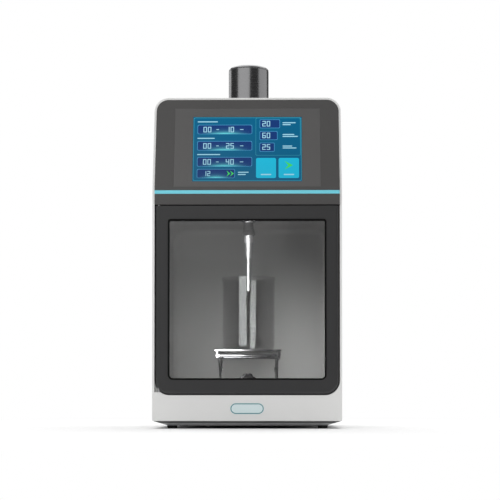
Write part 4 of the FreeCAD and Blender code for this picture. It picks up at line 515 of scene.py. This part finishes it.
# %% Screen drawing
frame_line = [outline(-75.9, 12.0, 75.9, 110.0, 2.0, 0.7, 1),
              outline(11.6, 50.8, 74.7, 109.6, 2.0, 0.5, 1)]
ROWS = (84.0, 58.6, 33.8)
SMALL = ((93.3, 45.9), (74.9, 42.4), (56.9, 38.2))
fields = [plate(-70.4, low, 6.7, low + 14.6, 2.2, 2) for low in ROWS]
fields.append(plate(-70.4, 16.1, -17.2, 30.0, 2.2, 2))
fields += [plate(17.2, low, right, low + 13.6, 1.5, 2) for low, right in SMALL]
rims = [outline(-70.4, low, 6.7, low + 14.6, 2.2, 0.6, 3) for low in ROWS]
rims.append(outline(-70.4, 16.1, -17.2, 30.0, 2.2, 0.6, 3))
rims += [outline(17.2, low, right, low + 13.6, 1.5, 0.6, 3) for low, right in SMALL]
glows = [glow_patch(-69.6, low + 0.2, 5.9, low + 12.0, 3) for low in ROWS]
glows.append(glow_patch(-69.6, 16.3, -18.0, 27.0, 3))
keys = [plate(12.3, 16.1, 40.3, 47.0, 2.5, 2), plate(43.8, 16.1, 72.5, 47.0, 2.5, 2)]
white = []
for first, second, low in (("00", "10", 87.5), ("00", "25", 62.1), ("00", "40", 37.3)):
    white += figures(first, -61.5, low, 7.4, 4)
    white += figures(second, -29.5, low, 7.4, 4)
    white += [plate(-44.0, low + 3.2, -40.0, low + 4.2, 0.5, 4),
              plate(-10.5, low + 3.2, -5.5, low + 4.2, 0.5, 4)]
for text, low in (("20", 96.6), ("60", 78.2), ("25", 60.2)):
    white += figures(text, 21.5, low, 7.4, 4)
white += figures("12", -61.0, 19.8, 6.6, 4)
bars = [plate(-70.4, low, right, low + 1.5, 0.7, 4)
        for low, right in ((102.6, -42.0), (76.8, -46.0), (51.6, -38.0))]
bars += [plate(49.5, low, right, low + 1.5, 0.7, 4)
         for low, right in ((101.0, 68.0), (98.0, 61.0), (82.6, 66.0), (79.6, 71.0), (64.6, 63.0),
                            (61.6, 69.0))]
bars += [plate(-13.0, 24.2, 2.0, 25.7, 0.7, 4), plate(-13.0, 20.8, -2.0, 22.3, 0.7, 4)]
marks = [plate(19.0, 20.6, 33.6, 22.4, 0.8, 4), plate(51.0, 20.6, 65.6, 22.4, 0.8, 4)]
green = [arrow(-29.0, 18.6, -23.6, 27.5, 4), arrow(-24.0, 18.6, -18.6, 27.5, 4),
         arrow(52.0, 29.0, 64.0, 42.5, 4)]
new_piece("screen_lines", *several(frame_line), "cabinet", "display_glass")
new_piece("screen_fields", *several(fields), "cabinet", "display_glass")
new_piece("screen_rims", *several(rims), "cabinet", "display_glass")
patches = [(grid, faces) for grid, faces, glow in glows]
glow_piece = new_piece("screen_glows", *several(patches), "cabinet", "display_glass")
glow_level = glow_piece.data.attributes.new("glow", "FLOAT", "POINT")
glow_level.data.foreach_set("value", np.concatenate([glow.ravel() for grid, faces, glow in glows]))
new_piece("screen_keys", *several(keys), "cabinet", "display_glass")
new_piece("screen_figures", *several(white + bars + marks), "cabinet", "display_glass")
new_piece("screen_arrows", *several(green), "cabinet", "display_glass")

# %% [markdown]
# ## The badge's rim
# The badge is a pale pill with nothing on it but a printed rim, a thin band carried round its
# edge.

# %% Badge rim
rim_path = rounded_path([(-23.0, 20.7, 7.2), (23.0, 20.7, 7.2), (23.0, 35.1, 7.2),
                         (-23.0, 35.1, 7.2)], closed=True, steps=12)
rim = np.array([(0.0, 0.0), (0.0, 0.12), (-1.2, 0.12), (-1.2, 0.0)])
new_piece("badge_rim", *carried(rim_path, rim, -148.8), "cabinet", "badge_pale")

# %% [markdown]
# ## Shader sums in Python
# A material is a small sum over the surface: a place, some noise, a mix of two colours. Wired by
# hand that is slow to read, so a Value wraps one socket and its operators add Math nodes. Every
# other node comes from one method, which takes its kind, its settings and its sockets.

# %% Value and Shader
class Value:
    """One output socket. Arithmetic on Values adds Math nodes to the same shader."""

    def __init__(self, shader, socket):
        self.shader = shader
        self.socket = socket

    def math(self, operation, first, second):
        return self.shader.node("ShaderNodeMath", {"operation": operation}, {0: first, 1: second})

    def __add__(self, other):
        return self.math("ADD", self, other)

    def __sub__(self, other):
        return self.math("SUBTRACT", self, other)

    def __rsub__(self, other):
        return self.math("SUBTRACT", other, self)

    def __mul__(self, other):
        return self.math("MULTIPLY", self, other)

    def __pow__(self, other):
        return self.math("POWER", self, other)

    __radd__ = __add__
    __rmul__ = __mul__


class Shader:
    """Node tree of a material or of the world."""

    def __init__(self, tree):
        self.tree = tree
        tree.nodes.clear()

    def node(self, kind, settings=None, sockets=None, out=0):
        """Add a node: settings first, then numbers or Values for its sockets."""
        made = self.tree.nodes.new(kind)
        for key, setting in (settings or {}).items():
            setattr(made, key, setting)
        for key, value in (sockets or {}).items():
            if isinstance(value, Value):
                self.tree.links.new(value.socket, made.inputs[key])
            else:
                made.inputs[key].default_value = value
        return Value(self, made.outputs[out]) if made.outputs else made

    def place(self, stretch=(1.0, 1.0, 1.0)):
        """Object coordinates in millimetres, each axis stretched by its own factor."""
        at = self.node("ShaderNodeTexCoord", out="Object")
        scale = tuple(1000.0 * factor for factor in stretch)
        return self.node("ShaderNodeVectorMath", {"operation": "MULTIPLY"}, {0: at, 1: scale})

    def noise(self, per_mm, stretch=(1.0, 1.0, 1.0), detail=2.0):
        """Noise from 0 to 1 with so many lumps to a millimetre."""
        return self.node("ShaderNodeTexNoise", sockets={
            "Vector": self.place(stretch), "Scale": per_mm, "Detail": detail, "Roughness": 0.5})

    def fade(self, value, low, high, start=0.0, end=1.0):
        """Value between low and high carried smoothly to start and end."""
        return self.node("ShaderNodeMapRange", {"interpolation_type": "SMOOTHSTEP"}, {
            "Value": value, "From Min": low, "From Max": high, "To Min": start, "To Max": end})

    def mix(self, share, first, second):
        """Colour between two colours."""
        return self.node("ShaderNodeMix", {"data_type": "RGBA"}, {0: share, 6: first, 7: second},
                         out=2)

    def bump(self, height, depth_mm):
        """Normal of a relief whose height goes from 0 to 1 over a depth in millimetres."""
        return self.node("ShaderNodeBump", sockets={"Height": height, "Distance": depth_mm * MM})


def tone(red, green, blue):
    """Linear colour of three screen levels from 0 to 255."""
    level = np.array([red, green, blue]) / 255
    linear = np.where(level <= 0.04045, level / 12.92, ((level + 0.055) / 1.055) ** 2.4)
    return (*linear.tolist(), 1.0)


def shade(colour, factor):
    """Colour made lighter or darker by a factor."""
    return (*[min(level * factor, 1.0) for level in colour[:3]], 1.0)


def finish(name, **sockets):
    """Material with one Principled shader, made by a function that fills in its sockets."""
    material = bpy.data.materials.new(name)
    material.use_nodes = True
    shader = Shader(material.node_tree)
    values = {key: value(shader) if callable(value) else value for key, value in sockets.items()}
    names = {key: key.replace("_", " ").title().replace("Ior", "IOR") for key in values}
    surface = shader.node("ShaderNodeBsdfPrincipled",
                          sockets={names[key]: value for key, value in values.items()})
    shader.node("ShaderNodeOutputMaterial", sockets={"Surface": surface})
    return material


# %% [markdown]
# ## Paint and plastic
# Sprayed paint settles into a faint orange peel, a few millimetres from lump to lump. A moulded
# plastic takes the spark-eroded grain of its mould instead: fine, sharp and a little rougher in
# its hollows. Both also vary by a few percent over a hand's width, which keeps them from looking
# printed. Colour, roughness and relief come from the same two noises.

# %% Paint, plastic and rubber
def sprayed(name, colour, rough, coat):
    """Orange peel of 0.02 mm on lumps about 3 mm apart, under a thin clear coat."""
    return finish(
        name,
        base_color=lambda s: s.mix(s.noise(0.02), shade(colour, 0.97), shade(colour, 1.02)),
        roughness=lambda s: s.fade(s.noise(0.05), 0.3, 0.7, rough - 0.03, rough + 0.04),
        normal=lambda s: s.bump(s.noise(0.35, detail=1.0), 0.02),
        coat_weight=coat, coat_roughness=0.12)


def moulded(name, colour, rough, grain=1.6, depth=0.02):
    """Spark-eroded grain: fine noise as relief, its hollows darker and rougher."""
    return finish(
        name,
        base_color=lambda s: s.mix(s.noise(grain) * 0.6 + s.noise(0.015) * 0.4,
                                   shade(colour, 0.88), shade(colour, 1.12)),
        roughness=lambda s: s.fade(s.noise(grain), 0.3, 0.7, rough + 0.05, rough - 0.05),
        normal=lambda s: s.bump(s.noise(grain, detail=3.0), depth))


def shadow_topped(name, dark, pale, low, high):
    """Pale plastic with a painted shadow: it turns dark above a height, in place of the shadow line
    under the base.
    """
    # The base colour is pale below the height and painted dark above it, as the shadow line between
    # the case and the pan.
    def coat(s):
        level = s.node("ShaderNodeSeparateXYZ", sockets={0: s.place()}, out="Z")
        grain = s.noise(1.6) * 0.1
        return s.mix(s.fade(level, low, high) * 0.9 + grain, pale, dark)
    return finish(name, base_color=coat,
                  roughness=lambda s: s.fade(s.noise(1.6), 0.3, 0.7, 0.6, 0.5),
                  normal=lambda s: s.bump(s.noise(1.6, detail=3.0), 0.02))


def rubber(name, colour):
    """Matt rubber: soft bloom in patches over a fine skin."""
    return finish(
        name,
        base_color=lambda s: s.mix(s.noise(0.08, detail=4.0), shade(colour, 0.8), shade(colour, 1.3)),
        roughness=lambda s: s.fade(s.noise(0.2), 0.3, 0.7, 0.68, 0.85), specular_ior_level=0.15,
        normal=lambda s: s.bump(s.noise(2.5), 0.015))


# %% [markdown]
# ## Metals
# A machined metal is read from its lines. Brushing leaves scratches along one axis, so the noise
# is stretched along it. Turning leaves rings, so there the noise only changes along the axis of
# the lathe. The lines go into the relief and the roughness, and hardly into the colour.

# %% Metal finishes
def lined(name, colour, rough, stretch, per_mm=3.0, depth=0.006):
    """Noise stretched into lines: a small stretch along them and 1 across them."""
    return finish(
        name, metallic=1.0,
        base_color=lambda s: s.mix(s.noise(per_mm, stretch), shade(colour, 0.93), shade(colour, 1.05)),
        roughness=lambda s: s.fade(s.noise(per_mm, stretch), 0.25, 0.75, rough - 0.05, rough + 0.08),
        normal=lambda s: s.bump(s.noise(per_mm, stretch, detail=3.0), depth))


def turned(name, colour, rough, depth=0.004):
    """Rings of a lathe about Z: noise that changes only with the height."""
    return lined(name, colour, rough, (0.01, 0.01, 1.0), per_mm=2.5, depth=depth)


def rolled(name, colour, rough):
    """Sheet or bar as it leaves the rolls: soft clouds and a slight waviness."""
    return finish(
        name, metallic=1.0,
        base_color=lambda s: s.mix(s.noise(0.12, detail=4.0), shade(colour, 0.9), shade(colour, 1.06)),
        roughness=lambda s: s.fade(s.noise(0.3, detail=4.0), 0.3, 0.7, rough - 0.05, rough + 0.1),
        normal=lambda s: s.bump(s.noise(0.8, detail=3.0), 0.003))


# %% [markdown]
# ## Glass
# The pane is smoked: its two faces take about two fifths of the light, and it mirrors a little.
# Blown glass is nearly invisible seen straight on, apart from the lamps that it mirrors, and its
# edges show because there the eye looks along the wall. So it is made as a mirror that is mostly
# see-through. Layer Weight gives the angle, and the mirror's alpha grows with it.

# %% Panes and beaker
def smoked(name, colour, hold):
    """Tinted pane: a share of the light is held back, by a shade more in faint waves."""
    return finish(
        name, base_color=colour, roughness=0.04,
        alpha=lambda s: s.fade(s.noise(0.01), 0.3, 0.7, hold - 0.01, hold + 0.01),
        normal=lambda s: s.bump(s.noise(0.02), 0.01))


def blown(name, colour):
    """Clear glass: a mirror, its alpha a little plus the turn away to the fourth power."""
    return finish(
        name, roughness=0.02, base_color=colour, metallic=1.0,
        alpha=lambda s: 0.018 + s.node("ShaderNodeLayerWeight", sockets={"Blend": 0.5}, out="Facing")
        ** 4.0 * 0.16,
        normal=lambda s: s.bump(s.noise(0.03), 0.004))


SCREEN_FOOT = 335.0
SCREEN_TOP = 442.0


def lit(name, colour, **more):
    """Lit layer of the screen: its brightness sinks a little towards one end of its height."""
    def glow(s):
        level = s.node("ShaderNodeSeparateXYZ", sockets={0: s.place()}, out="Z")
        pixels = s.noise(1.2, detail=0.0) * 0.12
        return s.mix(s.fade(level, SCREEN_FOOT, SCREEN_TOP) * 0.88 + pixels, shade(colour, 0.85),
                     shade(colour, 1.12))
    return finish(name, base_color=(0.004, 0.006, 0.008, 1.0), roughness=0.16,
                  specular_ior_level=0.2, emission_color=glow, emission_strength=1.0, **more)


# %% [markdown]
# ## The materials by name
# Now each finish is mixed for its own use. The dark plastics look nearly black in a dark room and
# grey under a softbox, so their colour is set low and the grain lifts it.

# %% Materials
WHITE = (0.82, 0.82, 0.81, 1.0)
paints = {
    "shell_paint": sprayed("shell_paint", WHITE, 0.34, 0.15),
    "liner_paint": sprayed("liner_paint", (0.47, 0.467, 0.462, 1.0), 0.8, 0.0),
    "frame_paint": sprayed("frame_paint", (0.10, 0.103, 0.107, 1.0), 0.4, 0.1),
    "rear_paint": sprayed("rear_paint", (0.60, 0.60, 0.59, 1.0), 0.45, 0.0),
    "door_plastic": moulded("door_plastic", (0.026, 0.026, 0.027, 1.0), 0.42),
    "head_plastic": moulded("head_plastic", (0.066, 0.064, 0.063, 1.0), 0.45),
    "overlay_film": moulded("overlay_film", (0.095, 0.093, 0.092, 1.0), 0.36, 3.0, 0.006),
    "inner_plastic": moulded("inner_plastic", (0.03, 0.03, 0.032, 1.0), 0.5),
    # The base pan is pale, with a painted shadow along its top edge for the shadow line under the
    # case.
    "pan_plastic_painted_shadow": shadow_topped("pan_plastic_painted_shadow", (0.015, 0.015, 0.015, 1.0),
                                 (0.62, 0.62, 0.63, 1.0), 7.0, 8.8),
    "black_plastic": moulded("black_plastic", (0.014, 0.014, 0.015, 1.0), 0.45),
    "rocker_plastic": moulded("rocker_plastic", (0.012, 0.012, 0.012, 1.0), 0.25, 3.0, 0.004),
    "bush_plastic": moulded("bush_plastic", (0.70, 0.69, 0.64, 1.0), 0.5),
    "accent_plastic": moulded("accent_plastic", tone(118, 216, 234), 0.3, 3.0, 0.004),
    "badge_film": moulded("badge_film", tone(222, 238, 240), 0.35, 3.0, 0.004),
    "badge_ink": moulded("badge_ink", tone(60, 138, 148), 0.4, 3.0, 0.004),
    "ceramic": moulded("ceramic", (0.74, 0.72, 0.66, 1.0), 0.55),
    "board_mask": moulded("board_mask", (0.02, 0.16, 0.08, 1.0), 0.35, 0.25, 0.03),
    "seal_rubber": rubber("seal_rubber", (0.02, 0.02, 0.02, 1.0)),
    "boot_rubber": rubber("boot_rubber", (0.34, 0.34, 0.34, 1.0)),
    "collar_plastic": moulded("collar_plastic", (0.42, 0.42, 0.43, 1.0), 0.4),
    "bead_rubber": rubber("bead_rubber", (0.003, 0.003, 0.003, 1.0)),
    "cap_metal": turned("cap_metal", (0.28, 0.28, 0.285, 1.0), 0.2, 0.0015),
    "horn_metal": turned("horn_metal", (0.84, 0.84, 0.85, 1.0), 0.5, 0.002),
    "tip_metal": turned("tip_metal", (0.80, 0.80, 0.81, 1.0), 0.42, 0.002),
    "mass_metal": turned("mass_metal", (0.45, 0.45, 0.46, 1.0), 0.3),
    "jack_steel": lined("jack_steel", (0.36, 0.36, 0.365, 1.0), 0.26, (0.03, 1.0, 1.0)),
    "arm_steel": lined("arm_steel", (0.58, 0.58, 0.59, 1.0), 0.28, (1.0, 0.03, 0.3)),
    "screw_steel": lined("screw_steel", (0.50, 0.50, 0.51, 1.0), 0.3, (1.0, 0.2, 1.0)),
    "plated_steel": rolled("plated_steel", (0.52, 0.52, 0.53, 1.0), 0.32),
    "guard_chrome": rolled("guard_chrome", (0.62, 0.62, 0.63, 1.0), 0.18),
    "magnet_metal": rolled("magnet_metal", (0.30, 0.30, 0.31, 1.0), 0.4),
    "electrode_brass": rolled("electrode_brass", (0.70, 0.47, 0.20, 1.0), 0.3),
    "coil_metal": lined("coil_metal", (0.42, 0.22, 0.12, 1.0), 0.35, (1.0, 1.0, 0.05), 2.0),
    "sink_metal": lined("sink_metal", (0.48, 0.48, 0.49, 1.0), 0.38, (1.0, 1.0, 0.03)),
    "smoked_glass": smoked("smoked_glass", (0.012, 0.013, 0.014, 1.0), 0.22),
    "blown_glass": blown("blown_glass", (0.84, 0.87, 0.86, 1.0)),
    "screen_ground": lit("screen_ground", tone(0, 92, 130)),
    "screen_frame": lit("screen_frame", tone(52, 148, 168)),
    "screen_field": lit("screen_field", tone(16, 52, 112)),
    "screen_rim": lit("screen_rim", tone(76, 156, 205)),
    "screen_glow": lit("screen_glow", tone(120, 245, 250), alpha=lambda s: s.node(
        "ShaderNodeAttribute", {"attribute_name": "glow"}, out="Fac") * 0.9),
    "screen_key": lit("screen_key", tone(24, 184, 218)),
    "screen_light": lit("screen_light", tone(160, 214, 232)),
    "screen_green": lit("screen_green", tone(70, 215, 95)),
}
print(len(paints), "materials")

# %% [markdown]
# ## Who wears what
# Each solid and each new piece gets its material by name. A solid that a new piece stands for is
# hidden, so only the new piece is named.

# %% Assignment
WEARS = {
    "shell_paint": ["case_shell"],
    "liner_paint": ["chamber_liner"],
    "frame_paint": ["chamber_frame"],
    "rear_paint": ["rear_panel"],
    "door_plastic": ["door_frame"],
    "head_plastic": ["head_fascia"],
    "overlay_film": ["front_overlay"],
    "inner_plastic": ["pane_retainer", "transducer_seat"],
    "collar_plastic": ["horn_collar"],
    "boot_rubber": ["neck_boot"],
    "pan_plastic_painted_shadow": ["base_pan"],
    "black_plastic": ["fan_frame", "power_inlet", "switch_body", "fuse_drawer", "fluted_knob",
                      "moulded_rotor"],
    "rocker_plastic": ["switch_rocker"],
    "bush_plastic": ["hinge_bushes"],
    "accent_plastic": ["accent_strip"],
    "badge_film": ["badge_plate"],
    "badge_ink": ["badge_rim"],
    "ceramic": ["piezo_rings"],
    "board_mask": ["display_board", "generator_board"],
    "seal_rubber": ["bulb_seal", "rubber_buttons", "jack_feet", "roof_seal"],
    "bead_rubber": ["window_bead"],
    "cap_metal": ["cap_can", "cap_lid"],
    "horn_metal": ["turned_horn", "front_mass"],
    "tip_metal": ["screwed_tip"],
    "mass_metal": ["back_mass", "stack_bolt"],
    "jack_steel": ["jack_base", "jack_top_plate", "jack_rear_shaft", "jack_upper_front_shaft",
                   "jack_upper_rear_shaft", "jack_nut_shaft", "jack_pivot_pins"],
    "arm_steel": ["jack_outer_arms", "jack_inner_arms"],
    "screw_steel": ["cut_screw", "cross_screws", "hinge_pins"],
    "plated_steel": ["hinge_bracket", "display_module", "power_supply"],
    "guard_chrome": ["wire_guard"],
    "magnet_metal": ["door_magnet"],
    "electrode_brass": ["electrodes"],
    "coil_metal": ["output_transformer"],
    "sink_metal": ["heat_sink"],
    "smoked_glass": ["window_pane"],
    "blown_glass": ["blown_beaker"],
    "screen_ground": ["display_glass"],
    "screen_frame": ["screen_lines"],
    "screen_field": ["screen_fields"],
    "screen_rim": ["screen_rims"],
    "screen_glow": ["screen_glows"],
    "screen_key": ["screen_keys"],
    "screen_light": ["screen_figures"],
    "screen_green": ["screen_arrows"],
}
dressed = []
for material_name, wearers in WEARS.items():
    for wearer in wearers:
        piece = nodes.get(wearer) or bpy.data.objects[wearer]
        if not piece.data.materials:
            piece.data.materials.append(None)
        for held in piece.material_slots:
            held.material = paints[material_name]
        dressed.append(wearer)
print(len(dressed), "pieces dressed")

# %% [markdown]
# ## Floor, room and lamps
# The photograph has a white ground that fades into a white room, with a soft shadow under the
# machine. The floor is white and diffuse near the machine, where it catches that shadow, and
# further out it turns into plain white. The room is white to the camera and dimmer to the
# surfaces, so that the metal keeps dark bands between the softboxes.

# %% Floor and room
FLOOR_HALF = 30.0
floor_grid = np.array([[(-FLOOR_HALF, -FLOOR_HALF, 0), (-FLOOR_HALF, FLOOR_HALF, 0)],
                       [(FLOOR_HALF, -FLOOR_HALF, 0), (FLOOR_HALF, FLOOR_HALF, 0)]])
floor_mesh = bpy.data.meshes.new("floor")
floor_mesh.from_pydata(floor_grid.reshape(-1, 3).tolist(), [], [(0, 2, 3, 1)])
floor = bpy.data.objects.new("floor", floor_mesh)
bpy.context.scene.collection.objects.link(floor)

ground = bpy.data.materials.new("white_ground")
ground.use_nodes = True
s = Shader(ground.node_tree)
spot = s.node("ShaderNodeTexCoord", out="Object")
distance = s.node("ShaderNodeVectorMath", {"operation": "LENGTH"}, {0: spot}, out="Value")
far = s.fade(distance, 0.35, 1.1)
paper = s.node("ShaderNodeBsdfDiffuse", sockets={"Color": (0.95, 0.95, 0.95, 1.0)})
white = s.node("ShaderNodeEmission", sockets={"Color": (1.0, 1.0, 1.0, 1.0), "Strength": 1.0})
seen = s.node("ShaderNodeLightPath", out="Is Camera Ray")
blend = s.node("ShaderNodeMixShader", sockets={0: far * seen, 1: paper, 2: white})
s.node("ShaderNodeOutputMaterial", sockets={"Surface": blend})
floor_mesh.materials.append(ground)

ROOM_LIGHT = 0.38
ROOM_MIRRORED = 0.08
room = bpy.data.worlds.new("white_room")
room.use_nodes = True
bpy.context.scene.world = room
s = Shader(room.node_tree)
camera_ray = s.node("ShaderNodeLightPath", out="Is Camera Ray")
glossy_ray = s.node("ShaderNodeLightPath", out="Is Glossy Ray")
clear_ray = s.node("ShaderNodeLightPath", out="Is Transmission Ray")
direct = s.node("ShaderNodeMath", {"operation": "MAXIMUM"}, {0: camera_ray, 1: clear_ray})
dim = ROOM_LIGHT + glossy_ray * (ROOM_MIRRORED - ROOM_LIGHT)
level = dim + direct * (1.0 - dim)
background = s.node("ShaderNodeBackground", sockets={"Color": (1.0, 1.0, 1.0, 1.0), "Strength": level})
s.node("ShaderNodeOutputWorld", sockets={"Surface": background})

# %% [markdown]
# The round cap shows the whole room in its bright and dark bands, and from them the lamps can be
# placed. A cylinder turned by t mirrors what stands at 2 t. So a wide softbox stands to the left
# of the camera, one to the right of the machine, and one behind on the left. A large one hangs
# overhead for the floor.

# %% Softboxes
AIM = np.array([0.0, -0.05, 0.27])


def softbox(name, centre, wide, tall, radiance, aim=AIM):
    """Flat lamp that faces a point: its power is radiance times pi times its area."""
    lamp = bpy.data.lights.new(name, "AREA")
    lamp.shape = "RECTANGLE"
    lamp.size = wide
    lamp.size_y = tall
    lamp.energy = radiance * math.pi * wide * tall
    box = bpy.data.objects.new(name, lamp)
    bpy.context.scene.collection.objects.link(box)
    box.location = centre
    away = np.array(centre) - aim
    lean = math.atan2(math.hypot(away[0], away[1]), away[2])
    box.rotation_euler = (lean, 0.0, math.atan2(away[1], away[0]) + math.pi / 2)
    print(name, round(lamp.energy, 1), "W")
    return box


softbox("lamp_left", (-0.73, -1.37, 1.00), 2.1, 1.25, 1.0)
softbox("lamp_right", (1.50, 0.15, 0.75), 2.0, 1.5, 0.75)
softbox("lamp_behind", (-1.60, 1.80, 0.80), 1.3, 1.6, 1.0)
softbox("lamp_above", (0.0, 0.42, 2.10), 2.6, 2.6, 1.85)

# %% [markdown]
# Glassware needs lamps of its own, in the chamber's mouth. Two low ones light the walls, the
# right one stronger. A tall narrow one is the bright upright band that the beaker and the probe
# mirror. All three stay out of the camera's sight: they belong to the picture, not the machine.

# %% Lamps for the glassware
wall_lamp = softbox("lamp_walls", (0.06, -0.118, 0.105), 0.07, 0.05, 7.8, (0.068, 0.08, 0.085))
wall_lamp.data.spread = math.radians(95)
left_lamp = softbox("lamp_walls_left", (-0.068, -0.118, 0.105), 0.06, 0.05, 3.6, (-0.06, 0.08, 0.09))
left_lamp.data.spread = math.radians(100)
band_lamp = softbox("lamp_band", (-0.044, -0.1275, 0.175), 0.064, 0.23, 17.0, (-0.044, 0.1, 0.175))
band_lamp.visible_diffuse = False
for lamp in (wall_lamp, left_lamp, band_lamp):
    lamp.visible_camera = False
    lamp.visible_glossy = lamp is band_lamp
